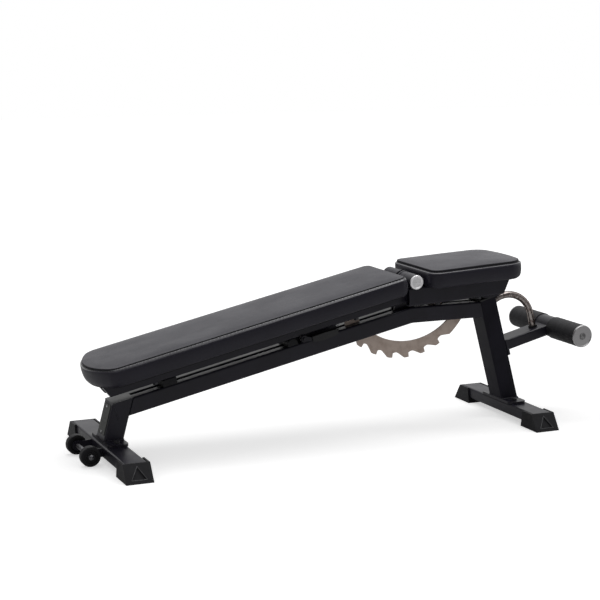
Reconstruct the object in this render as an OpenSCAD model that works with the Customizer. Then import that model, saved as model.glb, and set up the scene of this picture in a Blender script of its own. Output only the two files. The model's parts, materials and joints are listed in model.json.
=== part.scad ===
// Adjustable weight bench with a declining backrest, a tilting seat and a leg hold.
// +X points from the wheels to the leg hold, +Y to the user's left, +Z up.
// The origin is on the floor, under the middle of the bench.

/* [Base] */
// Distance between the two crossbars, centre to centre
crossbar_spacing = 1160; // [1120:5:1240]
// Rear crossbar, overall across its feet
rear_bar_len = 525; // [440:5:600]
// Front crossbar, overall across its feet
front_bar_len = 453; // [400:5:600]
// Crossbar tube width
crossbar_w = 60; // [54:1:70]
// Crossbar tube height
crossbar_h = 30; // [26:1:40]
// Height of the crossbar's underside above the floor
crossbar_lift = 14; // [10:1:25]
// Wall of every steel tube
tube_wall = 2.5; // [2:0.5:4]
// Outside corner radius of the tubes
tube_r = 5; // [3.5:0.5:6]
// Rubber foot length along the crossbar
foot_len = 84; // [70:1:110]
// Rubber on each side of the crossbar
foot_side = 5; // [4:0.5:9]
// How far the foot's outer face leans outwards
foot_lean = 30; // [15:1:36]
// Sunk depth of the mark in the foot's outer face
foot_mark_depth = 4; // [2:0.5:5]

/* [Posts] */
// Lean of both posts from the vertical
post_lean = 15; // [8:0.5:18]
// Post depth across the bench
post_d = 70; // [62:1:80]
// Rear post width along the bench
rear_post_w = 50; // [38:1:54]
// Front post width along the bench
front_post_w = 50; // [40:1:56]
// Offset of a post's foot from its crossbar's centre, towards the middle
post_offset = 5; // [0:1:8]
// Mounting flange length across the bench
flange_len = 160; // [150:1:200]
// Mounting flange width along the bench
flange_w = 54; // [52:1:60]
// Mounting flange thickness
flange_t = 7; // [4:0.5:8]
// Distance from the bench's middle to the flange bolts
flange_bolt_y = 58; // [50:1:62]
// Moulded cap on the front post
post_cap_t = 4; // [3:0.5:8]

/* [Beam] */
// Decline of the beam and the backrest
decline = 12.5; // [9:0.5:14]
// Rail height
rail_h = 43.5; // [34:0.5:46]
// Gap between the two rails
rail_gap = 10; // [9:0.5:14]
// Height of the underside of the beam's level stretch
beam_z = 287.5; // [280:0.5:320]
// Distance from the rear crossbar to the bend in the beam's underside
bend_from_rear = 846; // [836:1:860]
// Inside radius of the bend
bend_r = 60; // [30:5:120]

/* [Hinge] */
// Distance from the rear crossbar to the hinge axis
hinge_from_rear = 832; // [826:1:850]
// Hinge axle diameter
axle_d = 25; // [20:1:28]
// Outside diameter of the hinge hubs
hub_d = 40; // [36:1:42]
// Wall of the plain bushes in the hubs
bush_wall = 3; // [2:0.5:4]
// Half of the hinge's length, cap to cap
hinge_half = 79; // [74:1:90]
// Bright end cap diameter
hinge_cap_d = 38; // [34:1:44]
// End cap thickness
hinge_cap_t = 4; // [3:0.5:6]
// Thickness of the upright plates
upright_t = 6; // [5:0.5:6]

/* [Pads] */
// Pad thickness, with its board
pad_t = 49; // [42:1:60]
// Height of the hinge axis above the pads' undersides
pad_drop = 18.5; // [17:0.5:19]
// Plywood board thickness
board_t = 12; // [9:1:18]
// How far the board stays inside the pad's edge
board_inset = 10; // [4:1:12]
// Backrest pad length
back_pad_len = 873; // [800:1:900]
// Backrest pad width
back_pad_w = 244; // [230:1:280]
// Radius of the bow at the backrest's head end
back_head_bow = 185; // [160:1:400]
// Radius of the bow at the seat's front
seat_front_bow = 600; // [250:10:900]
// Corner radius at the backrest's head end
back_head_r = 44; // [30:1:80]
// Seat pad length
seat_pad_len = 294; // [280:1:360]
// Seat pad width
seat_pad_w = 250; // [230:1:290]
// Corner radius at the seat's front
seat_front_r = 50; // [30:1:80]
// Corner radius at the pads' hinge ends
pad_corner_r = 24; // [16:1:30]
// Chamfer around the pads' tops
pad_chamfer = 6; // [4:1:12]
// Gap from the hinge axis to the backrest pad
back_pad_gap = 37; // [37:1:50]
// Gap from the hinge axis to the seat pad
seat_pad_gap = 28; // [28:1:40]

/* [Carriers] */
// Height of the backrest rails
back_rail_h = 40; // [30:1:44]
// Width of the backrest rails
back_rail_w = 22; // [18:1:22]
// Overhang of the pad's head end past the rails
head_overhang = 26; // [20:1:60]
// Rise of the seat at rest
seat_rise = 3; // [0:0.5:5]
// Height of the seat rails
seat_rail_h = 50; // [44:1:54]
// Width of the seat rails
seat_rail_w = 22; // [18:1:26]
// Length of the seat rails past the hinge
seat_rail_len = 302; // [285:1:320]
// Cross plate thickness
strap_t = 5; // [4:0.5:6]
// Height of the rubber buffers that the backrest rests on
buffer_h = 17.5; // [16.5:0.5:24]

/* [Ratchet] */
// Thickness of the toothed sector
sector_t = 6; // [4:0.5:7]
// Radius over the tooth tips
tip_r = 219.5; // [214:0.5:224]
// Tooth depth
tooth_depth = 15.5; // [12:0.5:17]
// Angle between neighbouring notches
tooth_pitch = 13.2; // [12.8:0.1:13.6]
// Number of steps that the backrest climbs
steps = 7; // [5:1:7]
// Depth of the sector's band, tooth tips to inner edge
sector_band = 36; // [32:0.5:40]
// Latch bolt thickness
bolt_t = 8; // [6:0.5:8]
// Distance from the hinge to the lever's shaft, along the beam
lever_from_hinge = 330; // [310:1:335]
// Lever shaft diameter
shaft_d = 9; // [8:0.5:10]
// Length of the crank that draws the bolt
crank_r = 38; // [32:1:39]
// Travel from the withdrawn bolt to the engaged bolt
bolt_throw = 16.5; // [14:0.5:17]

/* [Seat lock] */
// Radius of the lock holes about the hinge
lock_r = 125; // [120:1:130]
// Lock pin diameter
lock_pin_d = 8; // [6:0.5:9]
// Angle between the lock holes
lock_step = 6; // [5.5:0.5:7]

/* [Leg hold] */
// Distance from the front crossbar to the roller axle
roller_from_front = 139; // [125:1:170]
// Height of the roller axle
roller_z = 240; // [225:1:262]
// Roller diameter
roller_d = 62; // [50:1:80]
// Overall length over both rollers
roller_span = 340; // [280:2:420]
// Roller axle diameter
roller_axle_d = 25; // [20:1:28]
// Diameter of the hub between the rollers
roller_hub_d = 57; // [44:1:60]
// Rise of the roller arm
arm_rise = 14; // [8:0.5:18]
// Arm width across the bench
arm_w = 60; // [50:1:64]
// Arm height
arm_h = 30; // [26:1:34]
// Hand grip tube diameter
grip_d = 19; // [16:0.5:25]
// Bend radius of the hand grip
grip_bend_r = 77; // [66:1:80]
// Straight length of the hand grip above the arm
grip_leg = 40; // [34:1:46]
// Distance from the roller axle to the hand grip's leg
grip_from_axle = 52; // [46:1:58]

/* [Wheels] */
// Transport wheel diameter
wheel_d = 51; // [40:1:52]
// Transport wheel width
wheel_w = 21; // [16:1:26]
// Distance from the bench's middle to each wheel's centre
wheel_y = 63; // [60:1:90]
// Distance from the rear crossbar to the wheel axle
wheel_reach = 66; // [60:1:80]
// Wheel axle diameter
wheel_axle_d = 12; // [10:1:14]

/* [Hidden] */
$fn = 48;

steel = [0.12, 0.12, 0.14];
rubber = [0.10, 0.10, 0.11];
bright = [0.75, 0.76, 0.78];
leatherette = [0.22, 0.22, 0.24];
sector_tone = [0.66, 0.61, 0.57];

// Clearances and small sizes
big = 3000;
rest_gap = 0.3;       // between a moving piece and the stop under it
run_gap = 0.05;       // radial, shaft in bore
side_gap = 1;         // between neighbouring hubs along the hinge
bolt_head_d = 15;
bolt_head_h = 5.5;
nut_h = 6;
weld_lap = 0.02;      // lap of two runs of one tube
bolt_shank_d = 8;
bolt_hole_gap = 0.25;

// Places along the bench
x_low = -wheel_reach - wheel_d / 2;
x_high = crossbar_spacing + roller_from_front + roller_d / 2;
rear_x = -(x_low + x_high) / 2;
front_x = rear_x + crossbar_spacing;
bend_x = rear_x + bend_from_rear;
hinge_x = rear_x + hinge_from_rear;
crossbar_top = crossbar_lift + crossbar_h;
post_z = crossbar_top + flange_t;
rear_post_x = rear_x + post_offset;
front_post_x = front_x - post_offset;
rail_w = (post_d - rail_gap) / 2;
rail_y = rail_gap / 2 + rail_w / 2;
beam_top = beam_z + rail_h;

// The hinge axis stands above the sloping beam by the buffer, the rails and the pad's drop
hinge_drop = buffer_h + back_rail_h + pad_drop;
hinge_z = beam_z + (rail_h + hinge_drop + (hinge_x - bend_x) * sin(decline)) / cos(decline);

// Layers across the hinge, from the middle outwards
upright_y = rail_gap / 2;
back_hub_y = upright_y + upright_t + side_gap;
back_rail_y = back_hub_y + side_gap;
back_hub_end = back_rail_y + back_rail_w + 2 * side_gap;
seat_hub_y = back_hub_end + side_gap;
bush_r = axle_d / 2 + bush_wall;

// Backrest and seat, measured in their own frames with the hinge axis as origin
pad_top = pad_t - pad_drop;
back_head_x = -back_pad_gap - back_pad_len;
back_rail_start = back_head_x + head_overhang;
back_rail_bottom = -pad_drop - back_rail_h;
back_rail_end = 14;
head_slant = 19;
seat_rail_bottom = -pad_drop - seat_rail_h;
seat_rail_start = -12;
seat_front_x = seat_pad_gap + seat_pad_len;
buffer_block = [-727, -689];    // block buffer, rear and front face along the beam
back_bolt_x = [buffer_block[0] - bolt_head_d, -back_pad_gap - 130];
back_strap_x = [back_rail_start + 34, -520, -236, -70];
back_strap_len = [50, 50, 76, 40];
back_bolt_y = back_rail_y + back_rail_w / 2;
seat_bolt_y = seat_hub_y + seat_rail_w / 2;
bolt_grip = 9;        // depth of a pad bolt in its board

// The front post ends just under the seat's rest strap
seat_rest_z = seat_rail_bottom - strap_t - rest_gap;
post_top_dx = front_post_x - hinge_x + front_post_w / 2 * cos(post_lean);
post_top_dz = post_z - hinge_z + front_post_w / 2 * sin(post_lean);
front_post_len = (seat_rest_z + post_top_dx * sin(seat_rise) - post_top_dz * cos(seat_rise))
    / cos(post_lean - seat_rise) - post_cap_t;

// The seat's rest strap sits over the middle of the post's cap, its bolts behind it.
cap_dx = front_post_x - hinge_x - (front_post_len + post_cap_t) * sin(post_lean);
cap_dz = post_z - hinge_z + (front_post_len + post_cap_t) * cos(post_lean);
seat_rest_half = 22;
seat_rest_x = cap_dx * cos(seat_rise) + cap_dz * sin(seat_rise);
seat_bolt_x = [seat_pad_gap + 50, seat_rest_x - seat_rest_half - bolt_head_d];

// Ratchet
root_r = tip_r - tooth_depth;
first_notch = -150.8;
sector_end = -27;
sector_lift = -26;    // top edge of the sector under its carrier plate
notch_floor = 0.25;   // share of a pitch that the notch's floor takes
tooth_rise_end = 0.74;
tooth_points = 16;
sector_inner_r = tip_r - sector_band;
inner_shift = [12.4, 9.3];
lever_z = 10;         // lever shaft above the beam
crank_mid = (bolt_throw - 3) / 2 / crank_r * 180 / PI;
nose_z = [3, 12.4];   // bolt's lower and upper edge above the beam
nose_gap = 1.8;       // from the tooth tips to the withdrawn bolt
nose_x = -sqrt(pow(tip_r + nose_gap, 2) - pow(hinge_drop - nose_z[1], 2));
bolt_leg_x = [12 - lever_from_hinge, 24 - lever_from_hinge];
peg_d = 6;
housing_x = [-15 - lever_from_hinge, nose_x - 10];
roof_start = 9 - lever_from_hinge;    // the roof leaves the lever's shaft free
housing_wall = 4;
housing_h = 17;
housing_roof = 2.5;
lever_plate = [-42.5, -37];
grip_x = [22 - lever_from_hinge, 96 - lever_from_hinge];
plate_z = [-1, 8];
grip_belly = 5;

// Seat lock
lock_angle = -46;
lock_x = hinge_x + lock_r * cos(lock_angle);
lock_z = hinge_z + lock_r * sin(lock_angle);
sleeve_d = 2 * lock_pin_d;
sleeve_end = 52;
knob_d = 26;
knob_y = [62, 80];
quadrant_r = [lock_r - 17, lock_r + 16];
quadrant_angles = [-66, -18];
seat_strap_x = [58, 132];

// Leg hold
roller_x = front_x + roller_from_front;
roller_half = roller_span / 2;
roller_cap_t = 5;
axle_in_cap = 2;      // how far the roller axle reaches into its end caps
axle_half = roller_half - roller_cap_t + axle_in_cap;
arm_end_half = arm_w / 2 + 1;
arm_end_in = roller_hub_d / 2 - 8;
roller_start = arm_end_half + 1;
arm_flange_t = 6;
arm_flange_h = 45;
arm_flange_drop = 4.5; // the plate's middle below the arm's
grip_turn = 106;

// Wheels
wheel_x = rear_x - wheel_reach;
wheel_z = wheel_d / 2 + 0.5;
bracket_t = 4;
bracket_y = wheel_y - wheel_w / 2 - bracket_t - 2;

// ---------------------------------------------------------------- helpers

// Extrudes an outline drawn in X and Z between two places across the bench.
module slab(y0, y1) {
    translate([0, y1, 0]) rotate([90, 0, 0]) linear_extrude(y1 - y0) children();
}

module rod_y(x, z, d, y0, y1) {
    translate([x, y1, z]) rotate([90, 0, 0]) cylinder(d = d, h = y1 - y0);
}

module both_sides() {
    children();
    mirror([0, 1, 0]) children();
}

module rounded_rect(w, h, r) {
    square([w - 2 * r, h], center = true);
    square([w, h - 2 * r], center = true);
    for (x = [-1, 1], y = [-1, 1]) translate([x * (w / 2 - r), y * (h / 2 - r)]) circle(r = r);
}

module tube_section(w, h) {
    difference() {
        rounded_rect(w, h, tube_r);
        square([w - 2 * tube_wall, h - 2 * tube_wall], center = true);
    }
}

// A tube along +X from the origin, with its section centred on the axis.
module tube_x(len, w, h) {
    rotate([90, 0, 90]) linear_extrude(len) tube_section(w, h);
}

// The outside and the inside of such a tube, each as a solid
module bar_x(len, w, h) {
    rotate([90, 0, 90]) linear_extrude(len) rounded_rect(w, h, tube_r);
}

module bore_x(len, w, h) {
    rotate([90, 0, 90]) linear_extrude(len)
        square([w - 2 * tube_wall, h - 2 * tube_wall], center = true);
}

// Everything above the line through (x, z) that climbs at the angle a.
module above(x, z, a) {
    translate([x, 0, z]) rotate([0, -a, 0]) translate([-big / 2, -big / 2, 0]) cube(big);
}

// Everything in front of a line through (x, z) that leans towards +X by the angle a.
module ahead(x, z, a) {
    translate([x, 0, z]) rotate([0, a, 0]) translate([0, -big / 2, -big / 2]) cube(big);
}

module behind(x, z, a) {
    translate([x, 0, z]) rotate([0, a, 0]) translate([-big, -big / 2, -big / 2]) cube(big);
}

// Frames of the backrest, the sloping beam's top and the seat
module back_frame() {
    translate([hinge_x, 0, hinge_z]) rotate([0, -decline, 0]) children();
}

module beam_frame() {
    back_frame() translate([0, 0, -hinge_drop]) children();
}

module seat_frame() {
    translate([hinge_x, 0, hinge_z]) rotate([0, -seat_rise, 0]) children();
}

// A hexagon bolt that points up, its head's underside at the origin.
module hex_bolt(len) {
    translate([0, 0, -bolt_head_h]) cylinder(d = bolt_head_d, h = bolt_head_h, $fn = 6);
    cylinder(d = bolt_shank_d, h = len);
}

// ------------------------------------------------------------------- base

module crossbar(x, len) {
    bar = len - 2 * (foot_lean + foot_side);
    color(steel) difference() {
        translate([x, -bar / 2, crossbar_lift + crossbar_h / 2]) rotate([0, 0, 90])
            tube_x(bar, crossbar_w, crossbar_h);
        flange_holes(x + towards_middle(x) * post_offset);
    }
}

// The posts, with their flanges and bolts, stand a little inside the crossbars' centres.
function towards_middle(x) = x < 0 ? 1 : -1;

module flange_holes(x) {
    for (j = [-1, 1]) translate([x, j * flange_bolt_y, crossbar_lift - 1])
        cylinder(d = bolt_shank_d + 2 * bolt_hole_gap, h = crossbar_h + flange_t + 2);
}

// A wedge-shaped rubber shoe on the crossbar's end.
module foot_body(shift) {
    outline = [[0, 0], [foot_len, 0], [foot_len - foot_lean, crossbar_top], [8, crossbar_top]];
    translate([0, shift, 0]) rotate([90, 0, 90])
        linear_extrude(crossbar_w + 2 * foot_side, center = true) polygon(outline);
}

module foot_mark() {
    half = foot_side + crossbar_w / 2 - 15;
    rotate([90, 0, 0]) translate([0, 0, -2 * foot_len]) linear_extrude(2 * foot_len)
        polygon([[-half, 8], [half, 8], [0, crossbar_top - 7]]);
}

module foot(x, len) {
    color(rubber) translate([x, len / 2 - foot_len, 0]) difference() {
        foot_body(0);
        translate([-crossbar_w / 2, -1, crossbar_lift])
            cube([crossbar_w, foot_len - foot_lean - foot_side + 1, crossbar_h + 1]);
        difference() {
            translate([0, foot_len / 2, 0]) foot_mark();
            foot_body(-foot_mark_depth);
        }
    }
}

module rear_crossbar() { crossbar(rear_x, rear_bar_len); }
module front_crossbar() { crossbar(front_x, front_bar_len); }
module rear_foot_left() { foot(rear_x, rear_bar_len); }
module rear_foot_right() { mirror([0, 1, 0]) foot(rear_x, rear_bar_len); }
module front_foot_left() { foot(front_x, front_bar_len); }
module front_foot_right() { mirror([0, 1, 0]) foot(front_x, front_bar_len); }

module flange(x) {
    color(steel) difference() {
        translate([x, 0, crossbar_top]) linear_extrude(flange_t)
            rounded_rect(flange_w, flange_len, 14);
        flange_holes(x);
    }
}

module rear_flange() { flange(rear_post_x); }
module front_flange() { flange(front_post_x); }

// Black hexagon bolts, down through the flanges and the crossbars
module frame_bolts() {
    color(steel) for (x = [rear_post_x, front_post_x], j = [-1, 1])
        translate([x, j * flange_bolt_y, post_z]) mirror([0, 0, 1])
            hex_bolt(post_z - crossbar_lift + nut_h);
}

// Nuts under the crossbars, one for each flange bolt
module frame_nuts() {
    color(bright) for (x = [rear_post_x, front_post_x], j = [-1, 1])
        translate([x, j * flange_bolt_y, crossbar_lift - nut_h]) difference() {
            cylinder(d = bolt_head_d, h = nut_h, $fn = 6);
            translate([0, 0, -1]) cylinder(d = bolt_shank_d, h = nut_h + 2);
        }
}

// ------------------------------------------------------------------ posts

module rear_post_frame() {
    translate([rear_post_x, 0, post_z]) rotate([0, post_lean, 0]) translate([0, 0, -50]) children();
}

// Cut flush with the beam's top and closed there by a plate as thick as the wall.
module rear_post() {
    color(steel) difference() {
        rear_post_frame() linear_extrude(400) rounded_rect(rear_post_w, post_d, tube_r);
        difference() {
            rear_post_frame() translate([0, 0, -1]) linear_extrude(400)
                square([rear_post_w - 2 * tube_wall, post_d - 2 * tube_wall], center = true);
            beam_frame() translate([-big / 2, -big / 2, -tube_wall]) cube(big);
        }
        beam_frame() translate([-big / 2, -big / 2, 0]) cube(big);
        translate([-big / 2, -big / 2, post_z - big]) cube(big);
    }
}

module front_post_frame() {
    translate([front_post_x, 0, post_z]) rotate([0, -post_lean, 0]) children();
}

module front_post() {
    color(steel) difference() {
        front_post_frame() translate([0, 0, -50]) linear_extrude(50 + front_post_len)
            tube_section(front_post_w, post_d);
        translate([-big / 2, -big / 2, post_z - big]) cube(big);
    }
}

module front_post_cap() {
    plug = [front_post_w - 2 * tube_wall - 1, post_d - 2 * tube_wall - 1];
    color(rubber) front_post_frame() translate([0, 0, front_post_len]) {
        linear_extrude(post_cap_t) rounded_rect(front_post_w, post_d, tube_r);
        translate([0, 0, -8]) linear_extrude(9) square(plug, center = true);
    }
}

plate_size = [50, 78, 1.5];
plate_up = 45;
screw_d = 7;

module rear_face() {
    translate([rear_post_x, 0, post_z]) rotate([0, post_lean, 0])
        translate([-rear_post_w / 2, 0, plate_up]) rotate([0, -90, 0]) children();
}

module nameplate() {
    color(steel) rear_face() linear_extrude(plate_size.z)
        rounded_rect(plate_size.y, plate_size.x, 4);
}

module nameplate_screws() {
    color(bright) rear_face() for (i = [-1, 1])
        translate([i * (plate_size.y / 2 - 6), 0, plate_size.z]) intersection() {
            translate([0, 0, -3]) sphere(r = 5);
            cylinder(d = screw_d, h = 3);
        }
}

// ------------------------------------------------------------------- beam

// A bent tube: a sloping run, the bend, and a level run between the posts.
module rail(side) {
    slope_len = (hinge_from_rear + 60) / cos(decline);
    level_len = crossbar_spacing - bend_from_rear;
    mid_r = bend_r + rail_h / 2;
    color(steel) difference() {
        translate([bend_x + bend_r * tan(decline / 2), side * rail_y, beam_z - bend_r]) {
            translate([0, 0, mid_r]) tube_x(level_len, rail_w, rail_h);
            rotate([90, 0, 0]) rotate([0, 0, 90]) rotate_extrude(angle = decline)
                translate([mid_r, 0]) tube_section(rail_h, rail_w);
            rotate([0, -decline, 0]) translate([-slope_len, 0, mid_r])
                tube_x(slope_len + weld_lap, rail_w, rail_h);
        }
        behind(rear_post_x + rear_post_w / 2 / cos(post_lean), post_z, post_lean);
        ahead(front_post_x - front_post_w / 2 / cos(post_lean), post_z, -post_lean);
        if (side > 0) rod_y(lock_x, lock_z, sleeve_d, 0, post_d);
    }
}

module beam_rail_left() { rail(1); }
module beam_rail_right() { rail(-1); }

// Blocks that hold the rails apart, clear of the toothed sector.
spacer_x = [-760, -560, -70 - lever_from_hinge];
spacer_inset = 6;

module beam_spacers() {
    half = rail_gap / 2;
    front_face = front_post_x - front_post_w / 2 / cos(post_lean)
        - (beam_top - post_z) * tan(post_lean);
    color(steel) {
        beam_frame() for (x = spacer_x)
            translate([x, -half, spacer_inset - rail_h]) cube([24, rail_gap, rail_h - 2 * spacer_inset]);
        translate([front_face - 14, -half, beam_z + spacer_inset])
            cube([10, rail_gap, rail_h - 2 * spacer_inset]);
    }
}

// Rubber buffers on the beam: a block near the head and a round-topped one by the latch.
buffer_round_x = -31 - lever_from_hinge;
buffer_round_r = 14;

module bumpers() {
    top = buffer_h - rest_gap;
    color(rubber) beam_frame() slab(-post_d / 2, post_d / 2) {
        translate([buffer_block[0], 0]) square([buffer_block[1] - buffer_block[0], top]);
        translate([buffer_round_x - buffer_round_r, 0])
            square([2 * buffer_round_r, top - buffer_round_r]);
        intersection() {
            translate([buffer_round_x, top - buffer_round_r]) circle(r = buffer_round_r);
            translate([buffer_round_x - buffer_round_r, top - buffer_round_r])
                square(2 * buffer_round_r);
        }
    }
}

// ----------------------------------------------------------------- wheels

module wheel_brackets() {
    face = rear_x - crossbar_w / 2;
    color(steel) both_sides() difference() {
        slab(bracket_y, bracket_y + bracket_t) {
            translate([wheel_x, wheel_z]) circle(r = 13);
            polygon([[wheel_x - 4, wheel_z - 10], [face, crossbar_lift + 3],
                     [face, crossbar_top - tube_r], [wheel_x, wheel_z + 11]]);
        }
        rod_y(wheel_x, wheel_z, wheel_axle_d, 0, bracket_y + 20);
    }
}

module wheel_axle() {
    end = wheel_y + wheel_w / 2 + 1;
    color(bright) rod_y(wheel_x, wheel_z, wheel_axle_d, -end, end);
}

module wheel_nuts() {
    start = wheel_y + wheel_w / 2 + 1;
    color(bright) both_sides() translate([wheel_x, start, wheel_z]) rotate([-90, 0, 0]) {
        cylinder(d = 15, h = 2);
        intersection() {
            sphere(r = 8);
            cylinder(d = 13, h = 9);
        }
    }
}

module wheel(side) {
    half = wheel_w / 2;
    profile = [[wheel_axle_d / 2 + run_gap, -half], [10, -half], [10.5, -half + 4],
               [wheel_d / 2 - 8, -half + 4], [wheel_d / 2 - 7, -half], [wheel_d / 2 - 2, -half],
               [wheel_d / 2, -half + 2], [wheel_d / 2, half - 2], [wheel_d / 2 - 2, half],
               [wheel_d / 2 - 7, half], [wheel_d / 2 - 8, half - 4], [10.5, half - 4],
               [10, half], [wheel_axle_d / 2 + run_gap, half]];
    color(rubber) translate([wheel_x, side * wheel_y, wheel_z]) rotate([90, 0, 0])
        rotate_extrude($fn = 72) polygon(profile);
}

module wheel_left() { wheel(1); }
module wheel_right() { wheel(-1); }

// ------------------------------------------------------------------ hinge

module hinge_uprights() {
    half = 30;
    bend_top = bend_x - rail_h * tan(decline / 2);
    rear = hinge_x - half;
    color(steel) both_sides() difference() {
        slab(upright_y, upright_y + upright_t) {
            polygon([[rear, beam_top - (bend_top - rear) * tan(decline)], [bend_top, beam_top],
                     [hinge_x + half, beam_top], [hinge_x + 18, hinge_z], [hinge_x - 18, hinge_z]]);
            translate([hinge_x, hinge_z]) circle(d = hub_d + 2);
        }
        rod_y(hinge_x, hinge_z, axle_d, 0, 40);
    }
}

module hinge_axle() {
    color(bright) difference() {
        rod_y(hinge_x, hinge_z, axle_d, -hinge_half, hinge_half);
        rod_y(hinge_x, hinge_z, axle_d - 2 * bush_wall, -big / 2, big / 2);
    }
}

module hinge_caps() {
    color(bright) both_sides() translate([hinge_x, hinge_half + 0.2, hinge_z]) rotate([-90, 0, 0])
        rotate_extrude() polygon([[0, -12], [axle_d / 2 - bush_wall - 0.5, -12],
            [axle_d / 2 - bush_wall - 0.5, 0], [hinge_cap_d / 2, 0],
            [hinge_cap_d / 2, hinge_cap_t - 1], [hinge_cap_d / 2 - 1, hinge_cap_t],
            [hinge_cap_d / 2 - 3.5, hinge_cap_t], [hinge_cap_d / 2 - 5, hinge_cap_t - 1.2],
            [0, hinge_cap_t - 1.2]]);
}

module hubs(y0, y1) {
    both_sides() difference() {
        rod_y(hinge_x, hinge_z, hub_d, y0, y1);
        rod_y(hinge_x, hinge_z, 2 * bush_r, 0, big / 2);
    }
}

module bushes(y0, y1) {
    both_sides() difference() {
        rod_y(hinge_x, hinge_z, 2 * bush_r, y0, y1);
        rod_y(hinge_x, hinge_z, axle_d + 2 * run_gap, 0, big / 2);
    }
}

module back_hubs() { color(steel) hubs(back_hub_y, back_hub_end); }
module back_bushes() { color(rubber) bushes(back_hub_y, back_hub_end); }
module seat_hubs() { color(steel) hubs(seat_hub_y, hinge_half); }
module seat_bushes() { color(rubber) bushes(seat_hub_y, hinge_half); }

// --------------------------------------------------------------- backrest

module pad_bolt_holes(places, y, bottom, depth) {
    for (x = places, s = [-1, 1]) translate([x, s * y, bottom - 1])
        cylinder(d = bolt_shank_d + 2 * bolt_hole_gap, h = depth + 1);
}

// The head end is cut on a slant and closed.
module back_rail(side) {
    start = [back_rail_start, side * (back_rail_y + back_rail_w / 2), back_rail_bottom + back_rail_h / 2];
    len = back_rail_end - back_rail_start;
    slant = -atan(head_slant / back_rail_h);
    color(steel) difference() {
        back_frame() difference() {
            translate(start) bar_x(len, back_rail_w, back_rail_h);
            difference() {
                translate(start) bore_x(len + 1, back_rail_w, back_rail_h);
                behind(back_rail_start + tube_wall / cos(slant), -pad_drop, slant);
            }
            behind(back_rail_start, -pad_drop, slant);
            pad_bolt_holes(back_bolt_x, back_bolt_y, back_rail_bottom, back_rail_h + 1);
        }
        rod_y(hinge_x, hinge_z, hub_d, -big / 2, big / 2);
    }
}

module back_rail_left() { back_rail(1); }
module back_rail_right() { back_rail(-1); }

// Cross plates between the rails; the third one carries the sector.
module back_straps() {
    color(steel) back_frame() for (i = [0:3])
        translate([back_strap_x[i], -back_rail_y, sector_lift])
            cube([back_strap_len[i], 2 * back_rail_y, strap_t]);
}

// Radius of the toothed edge at a share t of one pitch, counted from a steep face.
function tooth_r(t) =
    t < notch_floor ? root_r + 3 * pow(1 - t / notch_floor, 3)
    : t < tooth_rise_end ? root_r + tooth_depth * pow((t - notch_floor) / (tooth_rise_end - notch_floor), 1.25)
    : tip_r - 0.6 * pow((t - tooth_rise_end) / (1 - tooth_rise_end), 2);

function polar(r, a) = [r * cos(a), r * sin(a)];

module sector_outline() {
    last = first_notch + steps * tooth_pitch;
    head = [for (a = [-172:2:first_notch]) polar(tip_r, a)];
    teeth = [for (k = [0:steps], i = [0:tooth_points - 1])
        let (t = i / (tooth_points - 1)) if (k < steps || t < tooth_rise_end)
        polar(tooth_r(t), first_notch + (k + t) * tooth_pitch)];
    tail = [for (a = [last + tooth_rise_end * tooth_pitch:2:sector_end]) polar(tip_r, a)];
    polygon(concat([[0, 0]], head, [polar(tip_r - 0.6, first_notch)], teeth, tail,
        [polar(tip_r, sector_end)]));
}

module toothed_sector() {
    color(sector_tone) difference() {
        translate([hinge_x, 0, hinge_z]) slab(-sector_t / 2, sector_t / 2) difference() {
            sector_outline();
            translate(inner_shift) circle(r = sector_inner_r, $fn = 180);
        }
        back_frame() translate([-big / 2, -big / 2, sector_lift]) cube(big);
    }
}

// Half of the outline of a pad or a board, from the hinge end to the bowed far end.
// inset shrinks it evenly; bow is the radius of the far end and r that of its corners.
function pad_half(len, w, r, bow, inset) = let (
    half = w / 2 - inset,
    near = pad_corner_r - inset / 2,
    far = r - inset,
    big_r = bow - inset,
    big_x = len - bow,
    far_x = big_x + sqrt(pow(big_r - far, 2) - pow(half - far, 2)),
    turn = asin((half - far) / (big_r - far)))
    concat(
        [for (a = [180:-15:90]) [inset + near + near * cos(a), half - near + near * sin(a)]],
        [for (i = [0:6]) let (a = 90 - i / 6 * (90 - turn)) [far_x + far * cos(a), half - far + far * sin(a)]],
        [for (i = [1:6]) let (a = turn * (1 - i / 6)) [big_x + big_r * cos(a), big_r * sin(a)]]);

module pad_outline(len, w, r, bow, inset) {
    half = pad_half(len, w, r, bow, inset);
    polygon(concat(half, [for (i = [len(half) - 2:-1:0]) [half[i].x, -half[i].y]]));
}

// A pad stands on its board; its top edge steps in by the chamfer.
module pad(len, w, r, bow) {
    step = pad_chamfer / 2;
    translate([0, 0, board_t - pad_drop]) linear_extrude(pad_t - board_t - pad_chamfer)
        pad_outline(len, w, r, bow, 0);
    for (i = [1, 2]) translate([0, 0, pad_top - pad_chamfer + (i - 1) * step])
        linear_extrude(step) pad_outline(len, w, r, bow, i * step);
}

module board(len, w, r, bow, holes, hole_y) {
    difference() {
        translate([0, 0, -pad_drop]) linear_extrude(board_t)
            pad_outline(len, w, r, bow, board_inset);
        pad_bolt_holes(holes, hole_y, -pad_drop, bolt_grip + 1);
    }
}

module back_mirror() {
    back_frame() translate([-back_pad_gap, 0, 0]) mirror([1, 0, 0]) children();
}

back_board_holes = [for (x = back_bolt_x) -back_pad_gap - x];
seat_board_holes = [for (x = seat_bolt_x) x - seat_pad_gap];

module back_board() {
    color("burlywood") back_mirror()
        board(back_pad_len, back_pad_w, back_head_r, back_head_bow, back_board_holes, back_bolt_y);
}

module back_pad() {
    color(leatherette) back_mirror() pad(back_pad_len, back_pad_w, back_head_r, back_head_bow);
}

module back_pad_bolts() {
    color(steel) back_frame() for (x = back_bolt_x, s = [-1, 1])
        translate([x, s * back_bolt_y, back_rail_bottom]) hex_bolt(back_rail_h + bolt_grip);
}

// ------------------------------------------------------------------- seat

seat_nose = [[25, -pad_drop - seat_rail_h], [0, -pad_drop]];

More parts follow.
